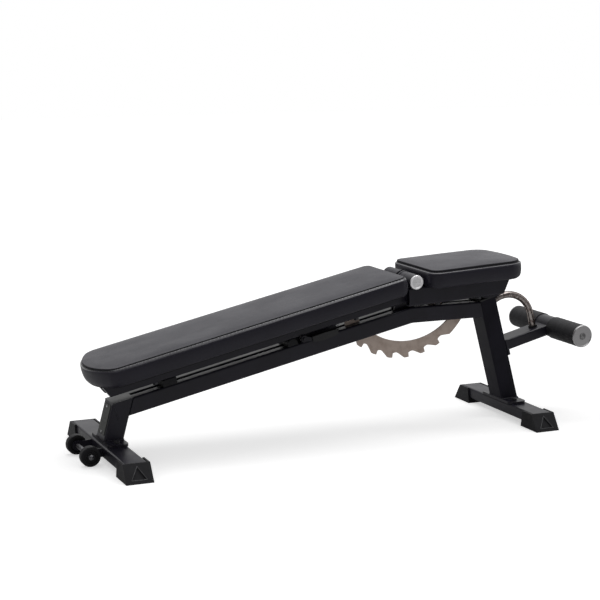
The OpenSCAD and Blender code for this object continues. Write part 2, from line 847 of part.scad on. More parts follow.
module seat_nose_cut() {
    cut = [for (p = seat_nose) [seat_rail_len - p.x, p.y]];
    slab(-hinge_half, hinge_half)
        polygon(concat(cut, [[seat_rail_len, -pad_drop + 5], [seat_rail_len + 50, -pad_drop + 5],
                             [seat_rail_len + 50, seat_rail_bottom - 20],
                             [seat_rail_len - 60, seat_rail_bottom - 20]]));
}

// The front end is cut back in two slants and closed.
module seat_rail(side) {
    start = [seat_rail_start, side * (seat_hub_y + seat_rail_w / 2), seat_rail_bottom + seat_rail_h / 2];
    len = seat_rail_len - seat_rail_start;
    color(steel) difference() {
        seat_frame() difference() {
            translate(start) bar_x(len, seat_rail_w, seat_rail_h);
            difference() {
                translate(start) translate([-1, 0, 0]) bore_x(len, seat_rail_w, seat_rail_h);
                translate([-tube_wall, 0, tube_wall + 0.3]) seat_nose_cut();
            }
            seat_nose_cut();
            pad_bolt_holes(seat_bolt_x, seat_bolt_y, seat_rail_bottom, seat_rail_h + 1);
        }
        rod_y(hinge_x, hinge_z, hub_d, -big / 2, big / 2);
    }
}

module seat_rail_left() { seat_rail(1); }
module seat_rail_right() { seat_rail(-1); }

// One plate between the rails carries the lock quadrant, one under them rests on the post.
module seat_straps() {
    color(steel) seat_frame() {
        translate([seat_strap_x[0], -seat_hub_y, seat_rail_bottom])
            cube([seat_strap_x[1] - seat_strap_x[0], 2 * seat_hub_y, strap_t]);
        translate([seat_rest_x - seat_rest_half, 4 - seat_hub_y - seat_rail_w, seat_rail_bottom - strap_t])
            cube([2 * seat_rest_half, 2 * (seat_hub_y + seat_rail_w - 4), strap_t]);
    }
}

module seat_board() {
    color("burlywood") seat_frame() translate([seat_pad_gap, 0, 0])
        board(seat_pad_len, seat_pad_w, seat_front_r, seat_front_bow, seat_board_holes, seat_bolt_y);
}

module seat_pad() {
    color(leatherette) seat_frame() translate([seat_pad_gap, 0, 0])
        pad(seat_pad_len, seat_pad_w, seat_front_r, seat_front_bow);
}

module seat_pad_bolts() {
    color(steel) seat_frame() for (x = seat_bolt_x, s = [-1, 1])
        translate([x, s * seat_bolt_y, seat_rail_bottom]) hex_bolt(seat_rail_h + bolt_grip);
}

// A plate that hangs into the gap of the beam, with one hole for each seat angle.
module seat_quadrant() {
    arc = [for (a = [quadrant_angles[0]:4:quadrant_angles[1]]) a];
    color(steel) difference() {
        translate([hinge_x, 0, hinge_z]) slab(-sector_t / 2, sector_t / 2)
            polygon(concat([for (a = arc) polar(quadrant_r[1], a)],
                [for (i = [len(arc) - 1:-1:0]) polar(quadrant_r[0], arc[i])]));
        seat_frame() translate([-big / 2, -big / 2, seat_rail_bottom]) cube(big);
        translate([-big / 2, -big / 2, beam_z + 1 - big]) cube(big);
        for (k = [0:2]) let (a = lock_angle - k * lock_step)
            rod_y(hinge_x + lock_r * cos(a), hinge_z + lock_r * sin(a),
                lock_pin_d + 2 * run_gap, -20, 20);
    }
}

module seat_pin() {
    color(bright) rod_y(lock_x, lock_z, lock_pin_d, sector_t / 2 + 0.6, knob_y[0] + 12);
}

module seat_pin_knob() {
    color(rubber) translate([lock_x, knob_y[0], lock_z]) rotate([-90, 0, 0]) difference() {
        rotate_extrude() polygon([[0, 0], [8, 0], [knob_d / 2, 6], [knob_d / 2, 14],
            [knob_d / 2 - 4, knob_y[1] - knob_y[0]], [0, knob_y[1] - knob_y[0]]]);
        translate([0, 0, -1]) cylinder(d = lock_pin_d, h = 13);
    }
}

module seat_pin_sleeve() {
    color(steel) difference() {
        rod_y(lock_x, lock_z, sleeve_d, rail_gap / 2 + 0.2, sleeve_end);
        rod_y(lock_x, lock_z, lock_pin_d + 2 * run_gap, 0, big / 2);
    }
}

// ------------------------------------------------------------------ latch

// An inverted channel on the beam that guides the sliding bolt.
module latch_housing() {
    color(steel) beam_frame() difference() {
        union() {
            both_sides() slab(rail_gap / 2, rail_gap / 2 + housing_wall)
                translate([housing_x[0], 0]) square([housing_x[1] - housing_x[0], housing_h]);
            translate([roof_start, -rail_gap / 2 - housing_wall, housing_h - housing_roof])
                cube([housing_x[1] - roof_start, rail_gap + 2 * housing_wall, housing_roof]);
        }
        rod_y(-lever_from_hinge, lever_z, shaft_d + 2 * run_gap, -40, 40);
    }
}

function crank_point(a) = [-lever_from_hinge - crank_r * sin(a), lever_z - crank_r * cos(a)];

// The bolt's nose meets the sector; its leg hangs between the rails to the crank.
module latch_bolt() {
    peg = crank_point(crank_mid);
    half = bolt_t / 2;
    leg_bottom = lever_z - crank_r - 8;
    color(bright) beam_frame() {
        slab(-half, half) polygon([
            [bolt_leg_x[0], nose_z[0]], [nose_x - 1, nose_z[0]], [nose_x, nose_z[0] + 1],
            [nose_x - 1, nose_z[1] - 0.5], [nose_x - 8, nose_z[1] - 1], [bolt_leg_x[0], nose_z[1] - 1]]);
        difference() {
            slab(0.5, half) polygon([
                [bolt_leg_x[0], nose_z[0] + 1], [bolt_leg_x[1], nose_z[0] + 1],
                [bolt_leg_x[1], leg_bottom], [peg.x - 10, leg_bottom],
                [peg.x - 10, leg_bottom + 16], [bolt_leg_x[0], leg_bottom + 16]]);
            slab(-1, half + 1) translate([peg.x - peg_d / 2 - 0.1, peg.y - peg_d / 2 - 2])
                square([peg_d + 0.2, peg_d + 4]);
        }
    }
}

// Handle plate, shaft and crank, welded into one lever.
module latch_lever() {
    hub = [-lever_from_hinge, lever_z];
    peg = crank_point(crank_mid);
    color(steel) beam_frame() {
        slab(lever_plate[0], lever_plate[1]) {
            translate(hub) circle(d = 18);
            polygon([[hub.x, hub.y + 8], [hub.x, hub.y - 8], [grip_x[0] - 1, plate_z[0]],
                     [grip_x[1] - 8, plate_z[0]], [grip_x[1] - 8, plate_z[1]], [grip_x[0] - 1, plate_z[1]]]);
        }
        rod_y(hub.x, hub.y, shaft_d, lever_plate[0] - 5, 14);
        slab(-4.5, -0.5) {
            translate(hub) circle(d = 13);
            translate(peg) circle(d = 11);
            polygon([[hub.x - 5, hub.y], [hub.x + 5, hub.y], [peg.x + 4.5, peg.y], [peg.x - 4.5, peg.y]]);
        }
        rod_y(peg.x, peg.y, peg_d, -1, bolt_t / 2);
    }
}

// Moulded grip with a belly under its middle, pushed over the handle plate.
module latch_grip() {
    mid = (grip_x[0] + grip_x[1]) / 2;
    belly = 12;
    under = [for (i = [0:belly]) let (u = i / belly)
        [grip_x[0] + u * (grip_x[1] - grip_x[0]), plate_z[0] - 2 - grip_belly * pow(sin(180 * u), 0.8)]];
    color(rubber) beam_frame() difference() {
        slab(lever_plate[0] - 3.5, lever_plate[1] + 1.2)
            polygon(concat(under, [[grip_x[1], plate_z[1] + 2], [mid, plate_z[1] + 3], [grip_x[0], plate_z[1] + 2]]));
        slab(lever_plate[0], lever_plate[1])
            polygon([[grip_x[0] - 1, plate_z[0]], [grip_x[1] - 8, plate_z[0]],
                     [grip_x[1] - 8, plate_z[1]], [grip_x[0] - 1, plate_z[1]]]);
    }
}

// Helical torsion spring on the lever's shaft.
spring_wire = 1.6;
spring_turns = 6;
spring_y = [-30, -14];
spring_steps = 14;
spring_sides = 6;

module latch_spring() {
    coil_r = shaft_d / 2 + spring_wire / 2 + 0.5;
    rings = spring_turns * spring_steps;
    pitch = (spring_y[1] - spring_y[0]) / rings;
    points = [for (i = [0:rings], j = [0:spring_sides - 1])
        let (a = 360 * i / spring_steps, b = 360 * j / spring_sides,
             r = coil_r + spring_wire / 2 * cos(b))
        [r * cos(a), spring_y[0] + pitch * i + spring_wire / 2 * sin(b), r * sin(a)]];
    sides = [for (i = [0:rings - 1], j = [0:spring_sides - 1])
        let (k = (j + 1) % spring_sides, m = i * spring_sides)
        [m + j, m + k, m + k + spring_sides, m + j + spring_sides]];
    ends = [[for (j = [spring_sides - 1:-1:0]) j],
            [for (j = [0:spring_sides - 1]) rings * spring_sides + j]];
    color(bright) beam_frame() translate([-lever_from_hinge, 0, lever_z])
        polyhedron(points = points, faces = concat(sides, ends));
}

// --------------------------------------------------------------- leg hold

module arm_frame() {
    translate([roller_x, 0, roller_z]) rotate([0, -arm_rise, 0]) children();
}

// Front face of the front post: its foot on the flange, and the arm's place up it
face_x = front_post_x + front_post_w / 2 / cos(post_lean);
arm_reach = roller_from_front + post_offset + 60;
face_up = (roller_z - (roller_x - face_x) * tan(arm_rise) - post_z)
    / cos(post_lean) / (1 + tan(arm_rise) * tan(post_lean));

// Plane of the post's front face, with its origin where the arm meets it.
module face_frame() {
    translate([face_x, 0, post_z]) rotate([0, -post_lean, 0]) translate([0, 0, face_up]) children();
}

module roller_arm() {
    color(steel) difference() {
        union() {
            difference() {
                arm_frame() translate([-arm_reach, 0, 0]) tube_x(arm_reach - arm_end_in, arm_w, arm_h);
                face_frame() translate([-big + 1, -big / 2, -big / 2]) cube(big);
            }
            rod_y(roller_x, roller_z, roller_hub_d, -arm_end_half, arm_end_half);
            face_frame() translate([0, -post_d / 2, -arm_flange_h / 2 - arm_flange_drop])
                cube([arm_flange_t, post_d, arm_flange_h]);
        }
        rod_y(roller_x, roller_z, roller_axle_d, -big / 2, big / 2);
    }
}

module roller_axle() {
    color(bright) difference() {
        rod_y(roller_x, roller_z, roller_axle_d, -axle_half, axle_half);
        rod_y(roller_x, roller_z, roller_axle_d - 2 * tube_wall, -big / 2, big / 2);
    }
}

module foam_roller(side) {
    color(rubber) translate([roller_x, side * roller_start, roller_z]) rotate([-90 * side, 0, 0])
        difference() {
            cylinder(d = roller_d, h = roller_half - roller_start - roller_cap_t - rest_gap, $fn = 96);
            translate([0, 0, -1]) cylinder(d = roller_axle_d + 2 * run_gap, h = roller_half);
        }
}

module foam_roller_left() { foam_roller(1); }
module foam_roller_right() { foam_roller(-1); }

// Chrome discs that close the rollers' outer ends.
module roller_caps() {
    r = roller_d / 2 - 0.5;
    color(bright) both_sides() difference() {
        translate([roller_x, roller_half - roller_cap_t, roller_z]) rotate([-90, 0, 0])
            rotate_extrude($fn = 96) polygon([[0, 0], [r, 0], [r, roller_cap_t - 1.5],
                [r - 1.5, roller_cap_t], [r - 3, roller_cap_t], [r - 4, roller_cap_t - 1], [0, roller_cap_t - 1]]);
        rod_y(roller_x, roller_z, roller_axle_d, 0, axle_half);
    }
}

// The hand grip rises from the arm, turns over and ends on the post's front face.
module grip_frame() {
    arm_frame() translate([-grip_from_axle, 0, arm_h / 2]) children();
}

module hand_grip() {
    color(bright) difference() {
        grip_frame() {
            cylinder(d = grip_d, h = grip_leg);
            translate([-grip_bend_r, 0, grip_leg]) {
                rotate([90, 0, 0]) rotate_extrude(angle = grip_turn) translate([grip_bend_r, 0])
                    circle(d = grip_d);
                rotate([0, -grip_turn, 0]) translate([grip_bend_r, 0, 0]) cylinder(d = grip_d, h = 60);
            }
        }
        face_frame() translate([-big, -big / 2, -big / 2]) cube(big);
    }
}

module grip_ferrule() {
    color(rubber) grip_frame() difference() {
        cylinder(d = grip_d + 6, h = 5);
        translate([0, 0, -1]) cylinder(d = grip_d, h = 8);
    }
}

rear_crossbar();
front_crossbar();
rear_foot_left();
rear_foot_right();
front_foot_left();
front_foot_right();
rear_flange();
front_flange();
frame_bolts();
frame_nuts();
rear_post();
front_post();
front_post_cap();
nameplate();
nameplate_screws();
beam_rail_left();
beam_rail_right();
beam_spacers();
bumpers();
wheel_brackets();
wheel_axle();
wheel_nuts();
wheel_left();
wheel_right();
hinge_uprights();
hinge_axle();
hinge_caps();
back_hubs();
back_bushes();
back_rail_left();
back_rail_right();
back_straps();
toothed_sector();
back_board();
back_pad();
back_pad_bolts();
seat_hubs();
seat_bushes();
seat_rail_left();
seat_rail_right();
seat_straps();
seat_board();
seat_pad();
seat_pad_bolts();
seat_quadrant();
seat_pin();
seat_pin_knob();
seat_pin_sleeve();
latch_housing();
latch_bolt();
latch_lever();
latch_grip();
latch_spring();
roller_arm();
roller_axle();
roller_caps();
foam_roller_left();
foam_roller_right();
hand_grip();
grip_ferrule();
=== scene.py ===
"""Adjustable weight bench: upholstery, finishes, studio and camera around its steel frame."""

import json
import logging
import math
from dataclasses import dataclass
from enum import Enum
from typing import Iterable, Mapping, Optional, Sequence, Union

import bmesh
import bpy
import numpy as np
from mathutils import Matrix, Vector
from mathutils.bvhtree import BVHTree


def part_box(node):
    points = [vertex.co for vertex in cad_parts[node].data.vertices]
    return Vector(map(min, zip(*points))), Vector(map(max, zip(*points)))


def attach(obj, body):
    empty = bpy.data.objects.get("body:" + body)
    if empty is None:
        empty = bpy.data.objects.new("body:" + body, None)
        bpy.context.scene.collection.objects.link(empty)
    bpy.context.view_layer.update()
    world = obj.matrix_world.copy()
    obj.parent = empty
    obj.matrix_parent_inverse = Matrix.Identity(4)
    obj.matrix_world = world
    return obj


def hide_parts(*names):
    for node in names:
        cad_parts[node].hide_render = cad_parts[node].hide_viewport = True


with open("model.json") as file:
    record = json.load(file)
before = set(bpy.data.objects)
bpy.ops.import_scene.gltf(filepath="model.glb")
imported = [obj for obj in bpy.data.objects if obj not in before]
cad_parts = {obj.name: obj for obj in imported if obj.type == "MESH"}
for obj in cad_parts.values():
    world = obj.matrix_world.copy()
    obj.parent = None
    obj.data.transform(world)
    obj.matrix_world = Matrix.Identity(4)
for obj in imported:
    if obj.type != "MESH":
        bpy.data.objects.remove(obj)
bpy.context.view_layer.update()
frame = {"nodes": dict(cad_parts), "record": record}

log = logging.getLogger("bench")
MM = 0.001

Triple = tuple[float, float, float]
Faces = list[tuple[int, ...]]
Pairs = list[tuple[float, float]]
Value = Union["Sock", float, int, tuple]

WHITE: Triple = (1.0, 1.0, 1.0)


class Side(Enum):
    """A side of the bench."""

    LEFT = "left"
    RIGHT = "right"

    @property
    def sign(self) -> int:
        """1 on the left, where y is positive, and -1 on the right."""
        return 1 if self is Side.LEFT else -1


# ---- shader maths


class Kind(Enum):
    """What a shader socket carries."""

    NUMBER = "VALUE"
    COLOUR = "RGBA"
    VECTOR = "VECTOR"


class Sock:
    """An output socket on which Python's operators add Math, Mix and Vector Math nodes."""

    def __init__(self, shader: "Shader", socket: bpy.types.NodeSocket) -> None:
        """Wraps socket, which belongs to shader's tree."""
        self.shader = shader
        self.socket = socket

    @property
    def kind(self) -> Kind:
        """What the socket carries."""
        return Kind(self.socket.type)

    def _join(self, operation: str, left: Value, right: Value) -> "Sock":
        """Adds the node that combines two values.

        Args:
            operation: ADD, SUBTRACT or MULTIPLY.
            left: First operand.
            right: Second operand.

        Returns:
            The result, a colour if either operand is one, else a vector if either is.
        """
        kinds = [v.kind for v in (left, right) if isinstance(v, Sock)]
        if Kind.COLOUR in kinds:
            return self.shader.node(
                "ShaderNodeMix", {"data_type": "RGBA", "blend_type": operation},
                {"Factor_Float": 1.0, "A_Color": left, "B_Color": right}, "Result_Color")
        maths = "ShaderNodeVectorMath" if Kind.VECTOR in kinds else "ShaderNodeMath"
        return self.shader.node(maths, {"operation": operation}, {0: left, 1: right})

    def __add__(self, other: Value) -> "Sock":
        """self + other."""
        return self._join("ADD", self, other)

    def __radd__(self, other: Value) -> "Sock":
        """other + self."""
        return self._join("ADD", other, self)

    def __sub__(self, other: Value) -> "Sock":
        """self - other."""
        return self._join("SUBTRACT", self, other)

    def __rsub__(self, other: Value) -> "Sock":
        """other - self."""
        return self._join("SUBTRACT", other, self)

    def __mul__(self, other: Value) -> "Sock":
        """self * other."""
        return self._join("MULTIPLY", self, other)

    def __rmul__(self, other: Value) -> "Sock":
        """other * self."""
        return self._join("MULTIPLY", other, self)

    def smooth(self, low: float, high: float) -> "Sock":
        """Rises smoothly from 0 at low to 1 at high."""
        return self.shader.node(
            "ShaderNodeMapRange", {"interpolation_type": "SMOOTHSTEP"},
            {"Value": self, "From Min": low, "From Max": high})

    def blend(self, start: Value, end: Value) -> "Sock":
        """Mixes colours: start where this mask is 0 and end where it is 1."""
        return self.shader.node(
            "ShaderNodeMix", {"data_type": "RGBA"},
            {"Factor_Float": self, "A_Color": start, "B_Color": end}, "Result_Color")

    def part(self, axis: str) -> "Sock":
        """One component, X, Y or Z, of a vector."""
        return self.shader.node("ShaderNodeSeparateXYZ", {}, {"Vector": self}, axis)

    def length(self) -> "Sock":
        """The length of a vector."""
        return self.shader.node("ShaderNodeVectorMath", {"operation": "LENGTH"}, {0: self}, "Value")


class Shader:
    """The node tree of one material or of the world."""

    def __init__(self, tree: bpy.types.NodeTree) -> None:
        """Empties tree, which is then built up through node()."""
        self.tree = tree
        tree.nodes.clear()

    def node(self, kind: str, settings: Optional[Mapping[str, object]] = None,
             values: Optional[Mapping[Union[str, int], Value]] = None,
             output: Union[str, int] = 0) -> Optional[Sock]:
        """Adds any node.

        Args:
            kind: The node's type, such as ShaderNodeTexNoise.
            settings: Its properties, set before its sockets.
            values: Values or links of its sockets, by name, identifier or number.
            output: Which output to return.

        Returns:
            That output, or None for a node without one.
        """
        node = self.tree.nodes.new(kind)
        for name, setting in (settings or {}).items():
            setattr(node, name, setting)
        for name, value in (values or {}).items():
            self._connect(self._find(node.inputs, name), value)
        return Sock(self, self._find(node.outputs, output)) if len(node.outputs) else None

    @staticmethod
    def _find(sockets: Iterable, name: Union[str, int]) -> bpy.types.NodeSocket:
        """Finds a socket.

        Args:
            sockets: A node's inputs or outputs.
            name: Its number, identifier or name.

        Returns:
            The socket.
        """
        if isinstance(name, int):
            return sockets[name]
        by_identifier = [s for s in sockets if s.identifier == name]
        return by_identifier[0] if by_identifier else sockets[name]

    def _connect(self, socket: bpy.types.NodeSocket, value: Value) -> None:
        """Links a Sock to a socket, or sets a plain value on it.

        Args:
            socket: The input.
            value: What it gets; a number fills every part of a colour or vector.
        """
        if isinstance(value, Sock):
            self.tree.links.new(value.socket, socket)
            return
        if socket.type in ("RGBA", "VECTOR") and not isinstance(value, tuple):
            value = (value, value, value)
        socket.default_value = (*value[:3], 1.0) if socket.type == "RGBA" else value

    def place(self) -> Sock:
        """Where a point lies on the object at rest, in metres."""
        return self.node("ShaderNodeTexCoord", {}, {}, "Object")

    def noise(self, size: float, place: Optional[Value] = None, detail: float = 2.0) -> Sock:
        """Soft noise from 0 to 1 whose lumps are about size metres across."""
        return self.node("ShaderNodeTexNoise", {}, {
            "Vector": place or self.place(), "Scale": 1.0 / size, "Detail": detail}, "Fac")

    def cells(self, size: float) -> Sock:
        """Distance to the nearest cell's centre, for rounded cells about size metres across."""
        return self.node("ShaderNodeTexVoronoi", {"feature": "SMOOTH_F1"},
                         {"Vector": self.place(), "Scale": 1.0 / size}, "Distance")

    def relief(self, height: Value, depth: float, strength: float = 1.0,
               under: Optional[Value] = None) -> Sock:
        """A Bump node.

        Args:
            height: Height from 0 to 1.
            depth: Depth in metres of one unit of height.
            strength: Share of the effect.
            under: Normal that the relief lies on.

        Returns:
            The normal.
        """
        values = {"Height": height, "Distance": depth, "Strength": strength}
        if under is not None:
            values["Normal"] = under
        return self.node("ShaderNodeBump", {}, values)


# ---- finishes


@dataclass(frozen=True)
class Finish:
    """A surface finish with one procedural material."""

    name: str
    colour: Triple  # linear
    roughness: float  # middle of its roughness
    specular: float = 0.5  # specular level of the plain surface

    def material(self) -> bpy.types.Material:
        """Makes the material on first use.

        Returns:
            The material.
        """
        made = bpy.data.materials.get(self.name)
        if made is None:
            made = bpy.data.materials.new(self.name)
            made.use_nodes = True
            shader = Shader(made.node_tree)
            values = {"Specular IOR Level": self.specular, **self.dress(shader)}
            surface = shader.node("ShaderNodeBsdfPrincipled", {}, values)
            shader.node("ShaderNodeOutputMaterial", {}, {"Surface": surface})
        return made

    def tones(self, mask: Sock, low: float, high: float) -> Sock:
        """Varies the base colour.

        Args:
            mask: Where it is dark, 0, and light, 1.
            low: Share of the colour where it is dark.
            high: Share of the colour where it is light.

        Returns:
            The varied colour.
        """
        dark, light = (tuple(c * share for c in self.colour) for share in (low, high))
        return mask.blend(dark, light)

    def dress(self, shader: Shader) -> dict[str, Value]:
        """Builds the finish's own nodes.

        Args:
            shader: Its nodes.

        Returns:
            Values of the surface's sockets.
        """
        raise NotImplementedError


@dataclass(frozen=True)
class PowderCoat(Finish):
    """Satin powder coat with a fine orange peel."""

    peel: float = 1.6 * MM  # size of the orange peel in metres
    depth: float = 0.035 * MM  # its depth in metres

    def dress(self, shader: Shader) -> dict[str, Value]:
        """Puts peel in the relief, and faint clouds in colour and gloss.

        Args:
            shader: Its nodes.

        Returns:
            Values of the surface's sockets.
        """
        clouds = shader.noise(60 * MM, detail=3.0).smooth(0.3, 0.7)
        speck = shader.noise(0.5 * MM, detail=1.0)
        return {
            "Base Color": self.tones(clouds, 0.8, 1.25),
            "Roughness": self.roughness + clouds * 0.07 + (speck - 0.5) * 0.08,
            "Normal": shader.relief(shader.noise(self.peel), self.depth),
        }


@dataclass(frozen=True)
class MouldedRubber(Finish):
    """Matte moulded rubber or plastic with a spark-eroded grain."""

    grain: float = 0.9 * MM  # size of the grain in metres
    depth: float = 0.06 * MM  # its depth in metres

    def dress(self, shader: Shader) -> dict[str, Value]:
        """Adds fine grain, and bloom that lightens some areas a little.

        Args:
            shader: Its nodes.

        Returns:
            Values of the surface's sockets.
        """
        bloom = shader.noise(35 * MM, detail=4.0).smooth(0.35, 0.75)
        grain = shader.noise(self.grain, detail=3.0)
        return {
            "Base Color": self.tones(bloom, 0.85, 1.3),
            "Roughness": self.roughness + (grain - 0.5) * 0.12,
            "Normal": shader.relief(grain, self.depth),
        }


@dataclass(frozen=True)
class Metal(Finish):
    """Bare or plated steel."""

    metallic: float = 1.0  # how metallic it is; a dull oxide film lowers it
    lines: float = 0.5 * MM  # spacing of the brush lines across the brushing, in metres
    along: Triple = (0.04, 1.0, 1.0)  # which way the brush lines run, as a stretch of each axis
    depth: float = 0.01 * MM  # depth of the lines in metres
    stain: Triple = (0.3, 0.26, 0.23)  # tone of the patches that handling and heat leave; on the end caps, the tone of the darker middle that leaves the rim as a painted highlight
    patch: float = 22 * MM  # size of those patches in metres
    edge: Triple = WHITE  # tint of the reflection where the surface turns away

    def stained(self, shader: Shader) -> Sock:
        """Where the surface is stained, from 0 to 1."""
        return shader.noise(self.patch, detail=4.0).smooth(0.42, 0.72)

    def dress(self, shader: Shader) -> dict[str, Value]:
        """Puts brush lines in gloss and relief, and soft stains in colour.

        Args:
            shader: Its nodes.

        Returns:
            Values of the surface's sockets.
        """
        lines = shader.noise(self.lines, shader.place() * self.along, detail=3.0)
        patches = self.stained(shader)
        return {
            "Base Color": patches.blend(self.tones(lines, 0.9, 1.08), self.stain),
            "Metallic": self.metallic,
            "Roughness": self.roughness + (lines - 0.5) * 0.16 + patches * 0.05,
            "Specular Tint": self.edge,
            "Normal": shader.relief(lines, self.depth),
        }


@dataclass(frozen=True)
class CapMetal(Metal):
    """Plated end cap of an axle along Y: a clean, lighter rim round a darker mottled middle. The light rim
    against the darker middle is a painted highlight; the mottle is the plating's own.
    """

    axle: str = "hinge_axle"  # the node whose axis the cap shares
    middle: float = 13 * MM  # radius of the darker mottled middle, in metres; the clean rim outside it is a painted highlight
    blur: float = 1.5 * MM  # how far the two run into each other on either side, in metres

    def stained(self, shader: Shader) -> Sock:
        """Mottles and darkens the cap inside its rim, which stays light as a painted highlight.

        Args:
            shader: Its nodes.

        Returns:
            Where it is stained, from 0 to 1.
        """
        hub = middle_of(self.axle)
        across = (shader.place() - (hub.x, 0.0, hub.z)) * (1.0, 0.0, 1.0)
        rim = across.length().smooth(self.middle - self.blur, self.middle + self.blur)
        mottle = shader.noise(self.patch, detail=3.0).smooth(0.35, 0.62)
        return (1.0 - rim) * (0.35 + mottle * 0.65)


@dataclass(frozen=True)
class Leatherette(Finish):
    """Pebbled vinyl upholstery, glossier on the roll under its seam.

    The second coordinate of the mesh's map counts the bands of the cover: 0 to 1 is the side,
    1 to 2 the roll under the seam, 2 to 3 the turned edge above it and 3 to 4 the top.
    """

    pebble: float = 1.3 * MM  # size of a pebble in metres
    depth: float = 0.05 * MM  # depth of the creases between pebbles

    def dress(self, shader: Shader) -> dict[str, Value]:
        """Adds pebbles, stretch lines and a worn sheen, and follows the bands of the cover. The colour is
        darkened as painted shade in the creases between pebbles and on the turned edge above the seam.

        Args:
            shader: Its nodes.

        Returns:
            Values of the surface's sockets.
        """
        creases = 1.0 - shader.cells(self.pebble).smooth(0.25, 0.75)
        pull = shader.noise(55 * MM, shader.place() * (0.45, 1.0, 1.0), detail=3.0)
        rub = shader.noise(90 * MM).smooth(0.35, 0.7)
        band = shader.node("ShaderNodeTexCoord", {}, {}, "UV").part("Y")
        roll = band.smooth(1.02, 1.3) * (1.0 - band.smooth(1.8, 1.98))
        # The turned edge above the seam: its colour is darkened below as painted shade of the groove, and
        # it is made rougher
        seam = band.smooth(1.85, 1.99) * (1.0 - band.smooth(2.7, 2.95))
        return {
            # Colour darker in the creases between pebbles, where the relief is low: painted shade
            "Base Color": self.tones(creases * 0.7 + rub * 0.3, 0.8, 1.2) * (1.0 - seam * 0.6),
            "Roughness": (self.roughness - rub * 0.05 + (1.0 - creases) * 0.08
                          - roll * 0.12 + seam * 0.2),
            "Coat Weight": roll * 0.9,
            "Coat Roughness": 0.3,
            "Normal": shader.relief(creases, self.depth, 1.0, shader.relief(pull, 1.2 * MM, 0.6)),
        }


@dataclass(frozen=True)
class Foam(Finish):
    """Closed-cell foam with a slightly open skin."""

    def dress(self, shader: Shader) -> dict[str, Value]:
        """Lays small cells over larger, softer dents, and darkens the cells' pits as painted shade.

        Args:
            shader: Its nodes.

        Returns:
            Values of the surface's sockets.
        """
        cells = shader.cells(1.1 * MM).smooth(0.1, 0.7)
        dents = shader.noise(14 * MM, detail=3.0)
        return {
            # The pits at the cells' middles are coloured darker: painted shade
            "Base Color": self.tones(cells, 0.75, 1.2),
            "Roughness": self.roughness + (dents - 0.5) * 0.1,
            "Normal": shader.relief(cells, 0.12 * MM, 0.7, shader.relief(dents, 0.5 * MM, 0.5)),
        }


@dataclass(frozen=True)
class Backing(Finish):
    """Black non-woven cloth under the pads' boards."""

    fibre: float = 0.7 * MM  # thickness of a tuft of fibres in metres

    def dress(self, shader: Shader) -> dict[str, Value]:
        """Mats fibres that run both ways.

        Args:
            shader: Its nodes.

        Returns:
            Values of the surface's sockets.
        """
        ways = [shader.noise(self.fibre, shader.place() * way, detail=3.0)
                for way in ((0.15, 1.0, 1.0), (1.0, 0.15, 1.0))]
        fibres = (ways[0] + ways[1]) * 0.5
        return {
            "Base Color": self.tones(fibres, 0.6, 1.5),
            "Roughness": self.roughness,
            "Normal": shader.relief(fibres, 0.15 * MM),
        }


SATIN_BLACK = PowderCoat("satin_black", (0.0096, 0.0088, 0.0145), 0.34, 0.28)
# Copy of satin_black for the front post: rougher and less shiny, and a little darker in colour as painted
# shade for the shade it stands in
SHADED_MATTE_BLACK = PowderCoat("shaded_matte_black", (0.0085, 0.0079, 0.0125), 0.5, 0.1)
BLACK_RUBBER = MouldedRubber("black_rubber", (0.0125, 0.0123, 0.014), 0.56, 0.16)
# The rims' lighter colour is a painted highlight, standing in for the light that the feet's moulded edges
# catch
RIM_RUBBER_HIGHLIGHT = MouldedRubber("rim_rubber_highlight", (0.040, 0.0395, 0.043), 0.42, 0.4)
BLACK_PLASTIC = MouldedRubber("black_plastic", (0.012, 0.012, 0.013), 0.42, 0.35, grain=0.6 * MM)
PLATE_TONE = MouldedRubber("plate_texture", (0.022, 0.024, 0.020), 0.5, 0.4,
                           grain=2.6 * MM, depth=0.5 * MM)
THREAD = MouldedRubber("sewing_thread", (0.03, 0.03, 0.032), 0.5, 0.4, grain=0.4 * MM)
ZINC = Metal("zinc_plate", (0.62, 0.62, 0.63), 0.3, stain=(0.5, 0.5, 0.5))
DULL_ZINC = Metal("dull_zinc", (0.2, 0.2, 0.21), 0.42, stain=(0.09, 0.09, 0.095), patch=7 * MM)
BLACK_OXIDE = Metal("black_oxide", (0.05, 0.05, 0.055), 0.38, metallic=0.7,
                    stain=(0.03, 0.03, 0.035))
# The grip's near-black edge tint darkens its reflection where the tube turns away: painted shade along its
# edges
CHROME = Metal("smoked_chrome", (0.33, 0.30, 0.285), 0.26, lines=1.2 * MM, depth=0.004 * MM,
               stain=(0.10, 0.065, 0.06), patch=8 * MM, edge=(0.05, 0.04, 0.04))
SECTOR_STEEL = Metal("sector_steel", (0.47, 0.385, 0.335), 0.5, metallic=0.2, lines=0.8 * MM,
                     along=(1.0, 1.0, 0.05), depth=0.02 * MM, stain=(0.36, 0.285, 0.24))
# The caps' stain tones their darker middles, which leave the rims light as a painted highlight
ROLLER_CAP = CapMetal("dull_chrome", (0.36, 0.355, 0.36), 0.3, lines=0.9 * MM,
                      stain=(0.13, 0.13, 0.13), patch=5 * MM, axle="roller_axle", middle=10 * MM)
# The hinge caps' near-white colour on a mostly diffuse surface is a painted reflection of the light their
# chrome catches
HINGE_CAP = CapMetal("bright_chrome", (0.93, 0.92, 0.94), 0.24, metallic=0.3, lines=1.0 * MM,
                     stain=(0.63, 0.63, 0.64), patch=6 * MM, middle=13.5 * MM)
LEATHERETTE = Leatherette("black_leatherette", (0.0115, 0.0105, 0.0175), 0.42, 0.26)
ROLLER_FOAM = Foam("roller_foam", (0.0115, 0.0112, 0.0130), 0.62, 0.25)
BOARD_BACK = Backing("board_backing", (0.012, 0.012, 0.012), 0.9, 0.2)

